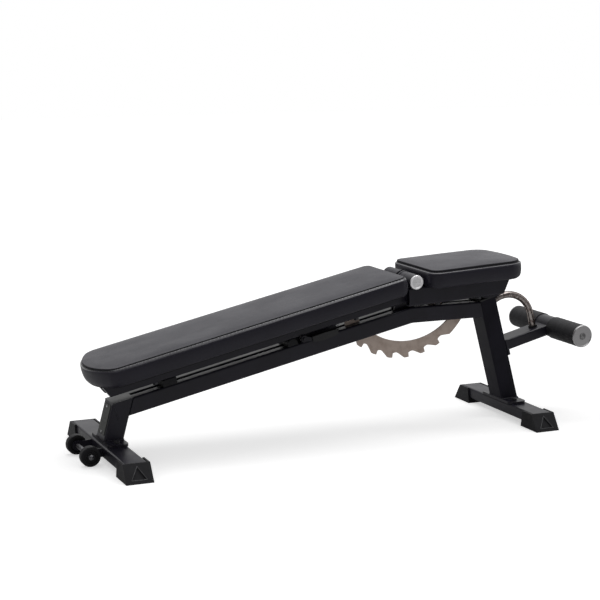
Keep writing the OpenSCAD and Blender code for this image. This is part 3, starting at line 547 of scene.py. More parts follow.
# The finish of each material slot, and of the nodes that differ from their slot's
SLOT_FINISH: dict[str, Finish] = {
    "frame_paint": SATIN_BLACK,
    "dark_bolt": BLACK_OXIDE,
    "rubber": BLACK_RUBBER,
    "plastic": BLACK_PLASTIC,
    "plate": PLATE_TONE,
    "bright_steel": ZINC,
    "chrome": CHROME,
    "brushed_steel": SECTOR_STEEL,
    "board": BOARD_BACK,
    "leatherette": LEATHERETTE,
    "foam": ROLLER_FOAM,
}
NODE_FINISH: dict[str, Finish] = {
    "roller_caps": ROLLER_CAP,
    "hinge_caps": HINGE_CAP,
    # The front post's darker colour is painted shade
    "front_post": SHADED_MATTE_BLACK,
    "wheel_axle": DULL_ZINC,
    "wheel_nuts": DULL_ZINC,
}


# ---- mesh tools


def middle_of(node: str) -> Vector:
    """The middle of a CAD node's box at rest, in metres."""
    low, high = (Vector(corner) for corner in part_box(node))
    return (low + high) / 2


def new_piece(name: str, points: np.ndarray, faces: Sequence[Sequence[int]], finish: Finish,
              uv: Optional[np.ndarray] = None) -> bpy.types.Object:
    """Makes a smooth-shaded mesh object.

    Args:
        name: The piece's name.
        points: Vertices in metres, in the row frame.
        faces: Vertex numbers of each face.
        finish: Its finish.
        uv: A pair of coordinates for each vertex, if it has any.

    Returns:
        The object, linked to the scene.
    """
    mesh = bpy.data.meshes.new(name)
    mesh.from_pydata([tuple(p) for p in points], [], [tuple(f) for f in faces])
    if uv is not None:
        corners = np.empty(len(mesh.loops), dtype=np.int32)
        mesh.loops.foreach_get("vertex_index", corners)
        layer = mesh.uv_layers.new(name="edge")
        layer.data.foreach_set("uv", uv[corners].astype(np.float32).ravel())
    mesh.polygons.foreach_set("use_smooth", [True] * len(mesh.polygons))
    mesh.materials.append(finish.material())
    mesh.update()
    piece = bpy.data.objects.new(name, mesh)
    bpy.context.scene.collection.objects.link(piece)
    return piece


def evaluated(piece: bpy.types.Object) -> tuple[np.ndarray, Faces]:
    """Reads a piece with its modifiers applied.

    Args:
        piece: The piece.

    Returns:
        Its vertices and faces.
    """
    mesh = piece.evaluated_get(bpy.context.evaluated_depsgraph_get()).to_mesh()
    points = np.empty(len(mesh.vertices) * 3)
    mesh.vertices.foreach_get("co", points)
    return points.reshape(-1, 3), [tuple(polygon.vertices) for polygon in mesh.polygons]


def ring_faces(rings: int, count: int, closed: bool = False) -> Faces:
    """Joins closed rings of vertices with quads.

    Args:
        rings: How many rings there are.
        count: Vertices in each.
        closed: Whether the last ring joins the first.

    Returns:
        The faces, wound so that they face outwards for rings that climb counter-clockwise.
    """
    pairs = [(k * count, (k + 1) % rings * count) for k in range(rings if closed else rings - 1)]
    return [(low + i, low + (i + 1) % count, high + (i + 1) % count, high + i)
            for low, high in pairs for i in range(count)]


def tube_faces(rings: int, count: int) -> Faces:
    """Joins rings of vertices with quads, and closes either end with a face."""
    last = (rings - 1) * count
    return ring_faces(rings, count) + [tuple(range(count))[::-1], tuple(range(last, last + count))]


def arc(x: float, y: float, radius: float, start: float, end: float, count: int) -> Pairs:
    """Points on the arc round (x, y) that runs from the angle start to the angle end."""
    return [(x + radius * math.cos(a), y + radius * math.sin(a))
            for a in np.linspace(start, end, count)]


def ramp(values: np.ndarray, start: float, end: float) -> np.ndarray:
    """Goes evenly from 0 at start to 1 at end."""
    return np.clip((values - start) / (end - start), 0.0, 1.0)


def run_along(points: np.ndarray) -> np.ndarray:
    """How far along a line each of its points lies."""
    return np.concatenate([[0], np.cumsum(np.linalg.norm(np.diff(points, axis=0), axis=1))])


def unit(vectors: np.ndarray) -> np.ndarray:
    """Vectors at a length of 1, or nothing where they have no length."""
    return vectors / np.maximum(np.linalg.norm(vectors, axis=-1, keepdims=True), 1e-9)


def headings(line: np.ndarray) -> np.ndarray:
    """Which way a closed line runs at each of its points, as unit vectors."""
    return unit(np.roll(line, -1, axis=0) - np.roll(line, 1, axis=0))


# ---- upholstery


@dataclass
class Cushion:
    """One upholstered pad: leatherette over foam, pulled round a plywood board.

    Sizes are in millimetres. The pad's own x runs from its hinge end, its z from the hinge axis.
    """

    name: str
    node: str  # the soft solid that it replaces
    body: str  # the body that it rides on
    tilt: float  # slope of the pad's frame in degrees
    start: float  # where its hinge end lies along the slope, from the hinge axis
    way: int  # 1 if it runs up the slope from there, -1 if down
    length: float
    width: float
    corner: float  # corner radius at the far end
    bow: float  # radius of the bowed far end
    seam_drop: tuple[float, float]  # height of the top panel's turned edge above the seam, side and far end
    shoulder: tuple[float, float]  # height of the roll under the seam at the far and hinge ends of the side
    end_shoulder: float  # height of that roll round the far end
    top: float  # height of the seam's panel over the hinge axis
    tuck: float = 0.0  # how much higher than on a square edge the side starts to curve in underneath
    near_corner: float = 24.0  # corner radius at the hinge end
    pitch: float = 3.3  # spacing of the vertices along the edge
    crown: float = 0.9  # rise of the top panel's middle
    slack: float = 0.6  # how much smaller than the finished pad the cover starts before it is filled
    puff: float = 3.0  # most that the filling may move a point
    foam: float = 0.14  # how firmly the foam holds the cover where it is, from 0 to 1
    voxel: float = 6.0  # size of the voxels of the copy that is filled
    frames: int = 20  # steps of the filling
    stitch: float = 5.0  # spacing of the stitches
    stitch_ends: tuple[float, float] = (2.0, 4.0)  # how far from the line's ends they stay
    overlap: float = 1.3  # how far a stitch reaches past its two rows of holes
    thread: float = 0.45  # half the thread's width
    arch: float = 0.4  # how far a stitch's middle rises over its ends
    sunk: float = 0.15  # how deep its ends lie in the cover

    # Inset and height of the cover's lower part, from the folded hem under the board upwards
    LOWER = ((30.0, -18.8), (22.0, -18.9), (15.0, -18.8), (12.0, -18.5), (9.0, -17.6),
             (6.2, -15.6), (3.9, -12.8), (2.2, -9.2), (1.0, -4.8), (0.3, 0.2), (0.0, 4.6),
             (0.0, 8.6), (0.0, 12.4), (0.0, 15.6))
    # The roll under the seam: inset, and share of the way from its foot up to the seam
    ROLL = ((0.3, 0.0), (1.1, 0.24), (2.1, 0.46), (3.1, 0.66), (4.1, 0.83), (5.0, 0.95), (5.7, 0.99))
    # The turned edge of the top panel: inset, and share of the way from the seam to the top
    TURN = ((5.9, 0.04), (5.95, 0.32), (6.0, 0.64), (6.25, 0.86), (7.0, 0.97), (8.5, 1.0))
    INNER_ROWS = 13  # rings of the top panel inside its turned edge
    STITCH_RINGS, STITCH_SIDES = 5, 6
    PASSES = 4  # how often the filling's movement is evened out along the edge
    BOARD = -10.0  # height up to which the board holds the cloth
    FREE = (-15.0, -3.0)  # heights over which the cover comes free of the board
    HELD = (5.0, 20.0)  # heights over which the seam takes hold of the cover
    WAVED = ((-19.0, -13.0), (27.0, 18.0))  # heights over which the waves come in, and go out
    MIDDLE, HALF_DEPTH = 6.0, 24.5  # height of the pad's middle, and half its thickness
    TUCK_REACH = 12.0  # inset over which the tuck fades out
    LEDGE = 1.5  # least height of the roll's foot over the side below it
    CLOSING = 1.15  # power by which the top panel's rings lie closer together at its rim

    def outline(self) -> np.ndarray:
        """Draws the widest line round the pad.

        Returns:
            Its points, evenly spaced and counter-clockwise.
        """
        half = self.width / 2
        middle = self.length - self.bow
        far_x = middle + math.sqrt((self.bow - self.corner) ** 2 - (half - self.corner) ** 2)
        turn = math.asin((half - self.corner) / (self.bow - self.corner))
        r, near = self.corner, self.near_corner
        side = np.array([(0.0, 0.0), *arc(near, half - near, near, math.pi, math.pi / 2, 24),
                         *arc(far_x, half - r, r, math.pi / 2, turn, 32),
                         *arc(middle, 0.0, self.bow, turn, 0.0, 24)[1:]])
        run = run_along(side)
        marks = np.linspace(0, run[-1], int(run[-1] / self.pitch) + 1)
        upper = np.column_stack([np.interp(marks, run, side[:, i]) for i in (0, 1)])
        return np.vstack([upper[1:-1] * (1, -1), upper[::-1]])

    def section(self, x: float, inward: np.ndarray) -> Pairs:
        """Draws the section of the edge at one place.

        Args:
            x: Distance from the hinge end.
            inward: The edge's inward direction there.

        Returns:
            (inset, height) pairs from the hem to the top panel.
        """
        along = x / self.length
        end = max(0.0, -inward[0]) ** 2 * min(1.0, max(0.0, 2 * along - 1))
        drop = self.seam_drop[0] + (self.seam_drop[1] - self.seam_drop[0]) * end
        side_roll = self.shoulder[1] + (self.shoulder[0] - self.shoulder[1]) * along
        roll = side_roll + (self.end_shoulder - side_roll) * end
        seam = self.top - drop
        foot = seam - roll
        lower = [(inset, min(z + self.tuck * max(0.0, 1 - (inset / self.TUCK_REACH) ** 2),
                             foot - self.LEDGE)) for inset, z in self.LOWER]
        return (lower + [(inset, foot + share * roll) for inset, share in self.ROLL]
                + [(inset, seam + share * drop) for inset, share in self.TURN])

    def rings(self) -> tuple[np.ndarray, np.ndarray]:
        """Lays rings from the underside's rim to the top panel's middle line.

        Returns:
            Points in the pad's own frame, in millimetres, as (rings, count, 3), and the cover's
            map: metres along the edge and the number of the band.
        """
        edge = self.outline()
        ahead = headings(edge)
        inward = np.column_stack([-ahead[:, 1], ahead[:, 0]])
        half = self.width / 2
        spine = np.column_stack([np.clip(edge[:, 0], half, self.length - half), np.zeros(len(edge))])
        sections = np.array([self.section(p[0], n) for p, n in zip(edge, inward)])
        rows = [np.column_stack([edge + inward * sections[:, k, :1], sections[:, k, 1]])
                for k in range(sections.shape[1])]
        rim = rows[-1]
        for share in np.linspace(0, 1, self.INNER_ROWS + 1)[1:] ** self.CLOSING:
            flat = rim[:, :2] + (spine - rim[:, :2]) * share
            lift = self.crown * (1 - (1 - share) ** 2)
            rows.append(np.column_stack([flat, rim[:, 2] + lift]))
        sizes = (len(self.LOWER), len(self.ROLL), len(self.TURN), self.INNER_ROWS)
        bands = np.concatenate([number + (np.arange(size) + 1) / size
                                for number, size in enumerate(sizes)])
        return np.array(rows), np.dstack(np.meshgrid(run_along(edge) * MM, bands))

    def gather(self, points: np.ndarray) -> np.ndarray:
        """Adds the small waves that the cover takes where it is pulled down over the foam.

        Args:
            points: The rings, in the pad's own frame.

        Returns:
            The rings with the waves, which fade out on the flat top and at the board.
        """
        edge = points[len(self.LOWER) - 1]
        run = run_along(edge)
        wave = (np.sin(run / 23.0 + 1.3 * np.sin(run / 71.0)) + 0.6 * np.sin(run / 9.7 + 2.0)
                + 0.5 * np.sin(run / 41.0 + 0.7))
        ahead = headings(edge)
        inward = np.column_stack([-ahead[:, 1], ahead[:, 0], np.zeros(len(edge))])
        bend = np.abs(np.cross(np.roll(ahead, -3, axis=0)[:, :2], ahead[:, :2]))
        pull = 0.16 + np.minimum(bend * 1.6, 0.45)
        moved = points.copy()
        for k in range(len(points) - self.INNER_ROWS - 2):
            z = points[k, :, 2]
            part = ramp(z, *self.WAVED[0]) * ramp(z, *self.WAVED[1])
            moved[k] += inward * (wave * pull * part)[:, None]
        return moved

    def axes(self) -> tuple[np.ndarray, np.ndarray, np.ndarray]:
        """Finds the pad's own frame.

        Returns:
            The middle of the hinge axis, and the directions along the slope and up from it.
        """
        slope = math.radians(self.tilt)
        return (np.array(middle_of("hinge_axle")), np.array([math.cos(slope), 0, math.sin(slope)]),
                np.array([-math.sin(slope), 0, math.cos(slope)]))

    def to_row(self, points: np.ndarray) -> np.ndarray:
        """Moves points into the row frame.

        Args:
            points: Points in the pad's own frame, in millimetres.

        Returns:
            The points in metres.
        """
        hinge, along, up = self.axes()
        x, y, z = (points[..., axis:axis + 1] for axis in range(3))
        return (hinge + (self.start + self.way * x) * MM * along + z * MM * up
                + y * MM * np.array([0, 1, 0]))

    def heights(self, points: np.ndarray) -> np.ndarray:
        """Heights above the hinge axis, square to the pad, in millimetres."""
        hinge, _, up = self.axes()
        return (points - hinge) @ up / MM

    def fill(self, points: np.ndarray, faces: Faces) -> np.ndarray:
        """Stuffs the cover: a voxel copy is blown up as cloth, and its movement is taken over.

        Args:
            points: Vertices in the row frame, in metres.
            faces: Their faces.

        Returns:
            The moved vertices.
        """
        cover = new_piece(self.name + "_cover", points, faces, LEATHERETTE)
        remesh = cover.modifiers.new("voxels", "REMESH")
        remesh.mode, remesh.voxel_size = "VOXEL", self.voxel * MM
        start, quads = evaluated(cover)
        bpy.data.objects.remove(cover)
        cloth = new_piece(self.name + "_cloth", start, quads, LEATHERETTE)
        held = cloth.vertex_groups.new(name="board")
        for index, z in enumerate(self.heights(start)):
            held.add([index], 1.0 if z < self.BOARD else self.foam, "REPLACE")
        stuffing = cloth.modifiers.new("stuffing", "CLOTH")
        settings = stuffing.settings
        settings.use_pressure = True
        settings.uniform_pressure_force = 4.0
        settings.vertex_group_mass = "board"
        settings.effector_weights.gravity = 0.0
        settings.tension_stiffness = settings.compression_stiffness = 40.0
        settings.bending_stiffness = 2.0
        settings.quality = 6
        stuffing.collision_settings.use_collision = False
        stuffing.point_cache.frame_start, stuffing.point_cache.frame_end = 1, self.frames
        for step in range(1, self.frames + 1):
            bpy.context.scene.frame_set(step)
        end, _ = evaluated(cloth)
        bpy.context.scene.frame_set(1)
        bpy.data.objects.remove(cloth)
        shift = end - start
        size = np.linalg.norm(shift, axis=1, keepdims=True)
        shift *= np.minimum(1.0, self.puff * MM / np.maximum(size, 1e-9))
        log.info("%s: filling moved it %.1f mm on average, %.1f at most",
                 self.name, size.mean() / MM, size.max() / MM)
        tree = BVHTree.FromPolygons([tuple(p) for p in start], quads)
        moved = points.copy()
        for index, point in enumerate(points):
            place, _, face, _ = tree.find_nearest(Vector(point))
            corners = list(quads[face])
            weights = 1.0 / (np.linalg.norm(start[corners] - np.array(place), axis=1) + 1e-5)
            moved[index] += (shift[corners] * weights[:, None]).sum(axis=0) / weights.sum()
        return moved

    def settle(self, before: np.ndarray, after: np.ndarray) -> np.ndarray:
        """Evens the filled cover out so that it keeps its seams and its overall size.

        Args:
            before: Rings before filling, in the row frame.
            after: Rings after it.

        Returns:
            The rings with the movement smoothed along the edge and eased off at the board.
        """
        shift = after - before
        for _ in range(self.PASSES):
            shift = (np.roll(shift, 1, axis=1) + 2 * shift + np.roll(shift, -1, axis=1)) / 4
        height = self.heights(before)[..., None]
        shift *= ramp(height, *self.FREE)
        seam = shift[len(self.LOWER) + len(self.ROLL) - 1]
        spread = np.zeros((len(shift), 1, 1))
        spread[-self.INNER_ROWS:, 0, 0] = np.linspace(0, 1, self.INNER_ROWS + 1)[1:]
        held = seam + (seam.mean(axis=0) - seam) * spread
        shift -= held * ramp(height, *self.HELD)
        shift[-1] = self.together(before[-1], shift[-1])
        return before + shift

    @staticmethod
    def together(places: np.ndarray, shifts: np.ndarray) -> np.ndarray:
        """Moves points that lie on each other as one.

        Args:
            places: The points.
            shifts: Their movements.

        Returns:
            The movements, each the mean of those at its place.
        """
        _, group = np.unique(places.round(6), axis=0, return_inverse=True)
        group = group.ravel()
        totals = np.column_stack([np.bincount(group, shifts[:, axis]) for axis in range(3)])
        return (totals / np.bincount(group)[:, None])[group]

    def shrink(self, points: np.ndarray) -> np.ndarray:
        """Takes the slack off the rings, so that the filled pad has its right size.

        Args:
            points: The rings, in the pad's own frame.

        Returns:
            The smaller rings.
        """
        middle = np.array([self.length / 2, 0.0, self.MIDDLE])
        span = np.array([self.length / 2, self.width / 2, self.HALF_DEPTH])
        return points - (points - middle) * self.slack / span * ramp(points[..., 2:3], *self.FREE)

    def build(self) -> bpy.types.Object:
        """Makes the pad, fills it, and adds its stitches.

        Returns:
            The finished piece.
        """
        points, uv = self.rings()
        points = self.gather(points)
        rings, count, _ = points.shape
        faces = ring_faces(rings, count) + [tuple(range(count))[::-1]]
        if self.way < 0:
            faces = [f[::-1] for f in faces]
        small = self.to_row(self.shrink(points))
        rows = self.settle(small, self.fill(small.reshape(-1, 3), faces).reshape(small.shape))
        piece = new_piece(self.name, rows.reshape(-1, 3), faces, LEATHERETTE, uv.reshape(-1, 2))
        self._close(piece)
        self.stitches(rows).parent = piece
        return piece

    @staticmethod
    def _close(piece: bpy.types.Object) -> None:
        """Welds the middle line of the top panel, where the inmost ring lies on itself.

        Args:
            piece: The pad.
        """
        work = bmesh.new()
        work.from_mesh(piece.data)
        bmesh.ops.remove_doubles(work, verts=work.verts, dist=0.05 * MM)
        bmesh.ops.dissolve_degenerate(work, edges=work.edges, dist=0.01 * MM)
        bmesh.ops.recalc_face_normals(work, faces=work.faces)
        work.to_mesh(piece.data)
        work.free()

    def stitches(self, rows: np.ndarray) -> bpy.types.Object:
        """Sews a line of slanted stitches just under the seam.

        Args:
            rows: The finished rings, in the row frame.

        Returns:
            The thread, as one piece.
        """
        lower, upper, over = (rows[len(self.LOWER) + ring] for ring in (3, 5, 6))
        run = run_along(upper)
        places = np.arange(self.stitch_ends[0], run[-1] / MM - self.stitch_ends[1], self.stitch)
        holes = np.searchsorted(run, places * MM)
        step = unit(upper[(holes + 1) % len(upper)] - upper[holes])
        upper, lower, over = upper[holes], lower[holes], over[holes]
        out = unit(np.cross(step, lower - upper))
        out *= np.where(((lower - over) * out).sum(axis=1) < 0, -1, 1)[:, None]
        start, end = upper - step * self.overlap * MM, lower + step * self.overlap * MM
        side = unit(np.cross(out, end - start))
        points = []
        for share in np.linspace(0, 1, self.STITCH_RINGS):
            lift = (self.arch * math.sin(math.pi * share) - self.sunk) * MM
            middle = start + (end - start) * share + out * lift
            points += [middle + (side * math.cos(a) + out * math.sin(a)) * self.thread * MM
                       for a in np.linspace(0, 2 * math.pi, self.STITCH_SIDES, endpoint=False)]
        one = tube_faces(self.STITCH_RINGS, self.STITCH_SIDES)
        faces = [tuple(k * len(points) + corner for corner in face)
                 for k in range(len(holes)) for face in one]
        points = np.array(points).transpose(1, 0, 2).reshape(-1, 3)
        return new_piece(self.name + "_stitches", points, faces, THREAD)


BACK_CUSHION = Cushion(
    "back_cushion", "back_pad", "backrest", tilt=12.5, start=-37.0, way=-1, length=873.0,
    width=244.0, corner=44.0, bow=185.0, seam_drop=(3.2, 5.6), shoulder=(8.6, 5.0),
    end_shoulder=2.8, top=34.0, tuck=3.0)
SEAT_CUSHION = Cushion(
    "seat_cushion", "seat_pad", "seat", tilt=3.0, start=28.0, way=1, length=294.0,
    width=250.0, corner=50.0, bow=600.0, seam_drop=(6.4, 6.4), shoulder=(2.3, 2.3),
    end_shoulder=2.0, top=32.5, near_corner=30.0)


# ---- leg rollers


@dataclass
class FoamRollers:
    """The two foam rollers on the leg hold's axle. Sizes are in metres."""

    bore: float = 13.2 * MM  # radius of the hole for the axle
    mouth: tuple[float, float] = (0.3 * MM, 1.5 * MM)  # depth and width of its chamfer
    edge: float = 2.2 * MM  # how much of each end is rounded
    waves: float = 0.25 * MM  # depth of the foam's slow waves
    dent: float = 0.12 * MM  # depth of the three shallow dents round it
    steps: int = 44  # rings along the foam between its rounded ends
    sides: int = 96  # facets around

    def build(self, side: Side) -> bpy.types.Object:
        """Makes one roller.

        Args:
            side: Which one.

        Returns:
            The piece.
        """
        low, high = (Vector(corner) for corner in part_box("foam_roller_" + side.value))
        middle, radius = np.array((low + high) / 2), (high.x - low.x) / 2
        seed = 0.0 if side is Side.LEFT else 2.4
        edge, half = self.edge, (high.y - low.y) / 2
        end = [(half - self.mouth[0], self.bore), (half, self.bore + self.mouth[1]),
               (half, radius - edge)]
        end += arc(half - edge, radius - edge, edge, 0.2, 1.4, 5)
        foam = [(y, radius - self.waves * (0.5 + 0.5 * math.sin(y * 190 + seed + math.sin(y * 61))))
                for y in np.linspace(edge - half, half - edge, self.steps)]
        profile = np.array([(-y, r) for y, r in end] + foam + end[::-1])
        turn = np.linspace(0, 2 * math.pi, self.sides, endpoint=False)
        y, r = profile[:, :1], profile[:, 1:]
        dent = self.dent * np.abs(np.sin(3 * turn + (middle[1] + y) * 40 + seed))
        r = r - dent * (r > 0.8 * radius)
        points = middle + np.dstack([r * np.cos(turn), y + 0 * r, r * np.sin(turn)])
        return new_piece("roller_foam_" + side.value, points.reshape(-1, 3),
                         ring_faces(len(profile), self.sides, closed=True), ROLLER_FOAM)


# ---- beads and rims


@dataclass
class Bead:
    """A raised line along corner points: a rippled weld, or a moulded rim."""

    name: str
    path: Sequence[Triple]  # the corner points, in millimetres in the row frame
    closed: bool = False  # whether it runs back to its start
    width: float = 1.8  # half its width
    swell: float = 0.16  # how much it swells at a ripple, as a share of its width
    facing: Optional[Triple] = None  # the way that the face under it looks, if it keeps to one
    finish: Finish = SATIN_BLACK
    ripple: float = 2.4  # spacing of its ripples
    sides: int = 8  # facets around it

    PER_RIPPLE = 3  # rings to a ripple
    TIP, TAPER = 0.35, 4  # share of the width at an open end, and rings for one width more

    def line(self) -> np.ndarray:
        """Divides the path into even steps.

        Returns:
            Points along the bead, three to a ripple.
        """
        corners = np.array([*self.path, self.path[0]] if self.closed else self.path)
        points = []
        for start, end in zip(corners[:-1], corners[1:]):
            steps = max(1, int(np.linalg.norm(end - start) / (self.ripple / self.PER_RIPPLE)))
            points += [start + (end - start) * k / steps for k in range(steps)]
        return np.array(points if self.closed else points + [corners[-1]])

    def build(self) -> bpy.types.Object:
        """Sweeps a round section along the line, swelling at each ripple.

        Returns:
            The piece.
        """
        line = self.line()
        before = np.roll(line, 1, axis=0) if self.closed else np.vstack([line[:1], line[:-1]])
        after = np.roll(line, -1, axis=0) if self.closed else np.vstack([line[1:], line[-1:]])
        rings = []
        for k, (place, ahead) in enumerate(zip(line, after - before)):
            ahead = Vector(ahead).normalized()
            side = ahead.cross(Vector(self.facing)) if self.facing else ahead.orthogonal()
            side.normalize()
            up = ahead.cross(side)
            half = self.width * (1.0 + self.swell * math.cos(2 * math.pi * k / self.PER_RIPPLE))
            if not self.closed:
                half *= min(1.0, self.TIP + min(k, len(line) - 1 - k) / self.TAPER)
            rings.append([Vector(place) + (side * math.cos(a) + up * math.sin(a)) * half
                          for a in np.linspace(0, 2 * math.pi, self.sides, endpoint=False)])
        if self.closed:
            faces = ring_faces(len(line), self.sides, closed=True)
        else:
            faces = tube_faces(len(line), self.sides)
        return new_piece(self.name, np.array(rings).reshape(-1, 3) * MM, faces, self.finish)


@dataclass
class FrameBeads:
    """The frame's weld beads, and the rims round the sunk triangles on its feet's outer faces, whose
    lighter colour is a painted highlight.

    Sizes are in millimetres and degrees.
    """

    rear_post: float = -614.25  # where the rear post's middle meets its flange, along the bench
    front_post: float = 535.75  # where the front post's does
    post: tuple[float, float] = (50.0, 70.0)  # size of a post's section along and across the bench
    post_corner: float = 5.0  # radius of its bead's corners
    proud: Triple = (0.6, 0.4, 0.6)  # how far that bead's middle lies off the post and its flange
    foot: float = 51.0  # height of a post's foot
    lean: float = 15.0  # how far the posts lean over
    decline: float = 12.5  # slope of the beam's rear part
    bend: tuple[float, float] = (226.75, 287.5)  # where the beam's underside bends, along the bench and up
    rail: float = 43.5  # height of the beam's section
    beam_half: float = 35.2  # half the beam's width, to its beads' middle
    foot_lean: float = 30.0  # how far a foot's outer face leans in over its height
    # The triangle's corners, from the foot's middle and up from the floor
    mark: tuple[tuple[float, float], ...] = ((-20.0, 8.0), (20.0, 8.0), (0.0, 37.0))
    sunk: float = 0.5  # how deep a rim's middle lies under the face

    def post_weld(self, name: str, flange: str, centre: float) -> Bead:
        """Makes the bead round a leaning post's foot.

        Args:
            name: The piece's name.
            flange: The flange that the post stands on.
            centre: Where the post's middle meets it, along the bench.

        Returns:
            The bead.
        """
        proud_x, proud_y, proud_z = self.proud
        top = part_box(flange)[1][2] / MM + proud_z
        half = self.post[0] / 2 / math.cos(math.radians(self.lean)) + proud_x
        side, turn = self.post[1] / 2 + proud_y, self.post_corner
        corners = [(*point, top) for x, y, quarter in ((1, 1, 0), (-1, 1, 1), (-1, -1, 2), (1, -1, 3))
                   for point in arc(centre + x * (half - turn), y * (side - turn), turn,
                                    quarter * math.pi / 2, (quarter + 1) * math.pi / 2, 3)]
        return Bead(name, corners, closed=True)

    def rail_weld(self, side: Side) -> Bead:
        """Makes the bead between one outer face of the beam and the rear post's front face.

        Args:
            side: Which face.

        Returns:
            The bead.
        """
        slope, lean = (math.tan(math.radians(angle)) for angle in (self.decline, self.lean))
        foot = self.rear_post + self.post[0] / 2 / math.cos(math.radians(self.lean))
        height = self.rail / math.cos(math.radians(self.decline))
        ends = []
        for rise in (0.0, height):
            # Where the straight line of the rail's edge meets that of the post's face
            level = self.bend[1] + rise - self.bend[0] * slope
            x = (foot - (level - self.foot) * lean) / (1 + slope * lean)
            ends.append((x, side.sign * self.beam_half, level + x * slope))
        return Bead("rail_weld_" + side.value, ends, width=1.3)

    def rim(self, end: str, side: Side) -> Bead:
        """Makes one foot's rim, lighter in colour than the foot as a painted highlight.

        Args:
            end: rear or front.
            side: Which side of the bench the foot is on.

        Returns:
            The rim.
        """
        low, high = (Vector(corner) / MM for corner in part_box(f"{end}_foot_{side.value}"))
        middle, outer = (low.x + high.x) / 2, max(abs(low.y), abs(high.y)) - self.sunk
        corners = [(middle + x, side.sign * (outer - self.foot_lean * z / high.z), z)
                   for x, z in self.mark]
        return Bead(f"{end}_foot_rim_{side.value}", corners, closed=True, width=1.2, swell=0.0,
                    facing=(0.0, side.sign * high.z, self.foot_lean), finish=RIM_RUBBER_HIGHLIGHT)

    def beads(self) -> list[Bead]:
        """Lists them all."""
        welds = [self.post_weld("rear_post_weld", "rear_flange", self.rear_post),
                 self.post_weld("front_post_weld", "front_flange", self.front_post),
                 self.rail_weld(Side.RIGHT), self.rail_weld(Side.LEFT)]
        return welds + [self.rim(end, side) for end in ("rear", "front") for side in Side]


# ---- studio


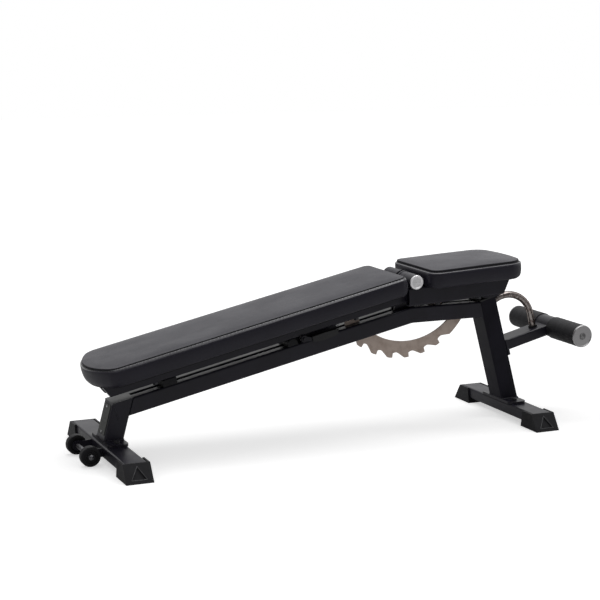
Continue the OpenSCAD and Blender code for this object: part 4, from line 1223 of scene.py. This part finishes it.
@dataclass
class Studio:
    """Pale floor, soft overhead light and the camera. Sizes are in metres."""

    eye: Triple = (-1.73715, -3.7735, 1.085)  # where the camera stands
    aim: Triple = (-0.08945, 0.0, 0.3675)  # the point it faces
    lens: float = 95.484  # its focal length in millimetres, on a sensor 36 mm wide
    floor_size: float = 14.0  # half the floor's width
    panel: Triple = (0.1, 0.2, 2.1)  # where the overhead panel hangs
    panel_aim: Triple = (0.0, 0.0, 0.3)  # the point it faces
    panel_size: tuple[float, float] = (2.8, 0.5)  # its width and height
    panel_power: float = 20.0  # its power in watts
    ambient: float = 0.5  # level of the room's own light

    @staticmethod
    def stand(name: str, data: bpy.types.ID, place: Triple, aim: Triple) -> bpy.types.Object:
        """Puts a camera or a lamp in its place.

        Args:
            name: Its name.
            data: What it is.
            place: Where it stands.
            aim: The point it faces.

        Returns:
            The object.
        """
        thing = bpy.data.objects.new(name, data)
        thing.location = place
        thing.rotation_euler = (Vector(aim) - Vector(place)).to_track_quat("-Z", "Y").to_euler()
        bpy.context.scene.collection.objects.link(thing)
        return thing

    @staticmethod
    def seen(shader: Shader, glossy: float) -> Sock:
        """Tells the rays apart.

        Args:
            shader: The tree.
            glossy: What glossy rays get.

        Returns:
            1 for camera and transmission rays, that share for glossy rays, else 0.
        """
        camera, shiny, through = (
            shader.node("ShaderNodeLightPath", {}, {}, f"Is {kind} Ray")
            for kind in ("Camera", "Glossy", "Transmission"))
        return shader.node("ShaderNodeClamp", {}, {"Value": camera + shiny * glossy + through})

    def camera(self) -> None:
        """Sets up the camera at standing height, to the rear right of the bench."""
        data = bpy.data.cameras.new("camera")
        data.sensor_width, data.lens, data.clip_end = 36.0, self.lens, 60.0
        bpy.context.scene.camera = self.stand("camera", data, self.eye, self.aim)

    def floor(self) -> None:
        """Lays a wide pale floor that keeps the bench's shadow."""
        s = self.floor_size
        mesh = bpy.data.meshes.new("studio_floor")
        mesh.from_pydata([(-s, -s, 0), (s, -s, 0), (s, s, 0), (-s, s, 0)], [], [(0, 1, 2, 3)])
        floor = bpy.data.objects.new("studio_floor", mesh)
        bpy.context.scene.collection.objects.link(floor)
        paper = bpy.data.materials.new("pale_floor")
        paper.use_nodes = True
        shader = Shader(paper.node_tree)
        plain = shader.node("ShaderNodeBsdfDiffuse", {}, {"Color": 0.82})
        away = shader.place().length()
        level = self.seen(shader, glossy=0.0) * (0.52 + away.smooth(0.9, 2.6) * 0.3)
        glow = shader.node("ShaderNodeEmission", {},
                           {"Color": level.blend(0.0, WHITE), "Strength": 1.0})
        both = shader.node("ShaderNodeAddShader", {}, {0: plain, 1: glow})
        shader.node("ShaderNodeOutputMaterial", {}, {"Surface": both})
        mesh.materials.append(paper)

    def world(self) -> None:
        """Makes the room white where it is seen, and grey where it lights."""
        world = bpy.data.worlds.new("studio_room")
        bpy.context.scene.world = world
        world.use_nodes = True
        shader = Shader(world.node_tree)
        way = shader.node("ShaderNodeTexCoord", {}, {}, "Generated")
        behind = (way.part("Y") + way.part("Z") * 0.35 + way.part("X") * 1.2).smooth(0.2, 1.0)
        above = way.part("Z").smooth(0.7, 0.92)
        room = above.blend(behind.blend((0.15, 0.145, 0.15), WHITE), 2.6)
        camera = shader.node("ShaderNodeLightPath", {}, {}, "Is Camera Ray")
        colour = self.seen(shader, glossy=1.0).blend(self.ambient, camera.blend(room, WHITE))
        sky = shader.node("ShaderNodeBackground", {}, {"Color": colour, "Strength": 1.0})
        shader.node("ShaderNodeOutputWorld", {}, {"Surface": sky})

    def build(self) -> None:
        """Sets up everything around the bench."""
        self.camera()
        self.floor()
        self.world()
        panel = bpy.data.lights.new("overhead_panel", "AREA")
        panel.shape = "RECTANGLE"
        panel.size, panel.size_y = self.panel_size
        panel.energy = self.panel_power
        self.stand("overhead_panel", panel, self.panel, self.panel_aim)
        bpy.context.scene.view_settings.view_transform = "Standard"


# ---- main


def clear_start_scene() -> None:
    """Removes what a new file holds besides the frame."""
    for name in ("Cube", "Light", "Camera"):
        left = bpy.data.objects.get(name)
        if left is not None:
            bpy.data.objects.remove(left)


def dress_frame() -> None:
    """Gives every CAD node its own finish, or else that of its slot."""
    for part in frame["record"]["subparts"]:
        node = frame["nodes"][part["node"]]
        finish = NODE_FINISH.get(part["node"], SLOT_FINISH[part["material_slot"]])
        for slot in node.material_slots:
            slot.material = finish.material()
        log.info("%s: %s", node.name, finish.name)


def report(piece: bpy.types.Object) -> None:
    """Says how many vertices a piece has."""
    log.info("%s: %d vertices", piece.name, len(piece.data.vertices))


def main() -> None:
    """Builds the scene."""
    logging.basicConfig(level=logging.INFO, format="%(message)s")
    clear_start_scene()
    Studio().build()
    dress_frame()
    for cushion in (BACK_CUSHION, SEAT_CUSHION):
        piece = cushion.build()
        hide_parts(cushion.node)
        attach(piece, cushion.body)
        report(piece)
    for side in Side:
        piece = FoamRollers().build(side)
        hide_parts("foam_roller_" + side.value)
        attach(piece, side.value + "_roller")
        report(piece)
    for bead in FrameBeads().beads():
        piece = bead.build()
        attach(piece, "frame")
        report(piece)


if __name__ == "__main__":
    main()
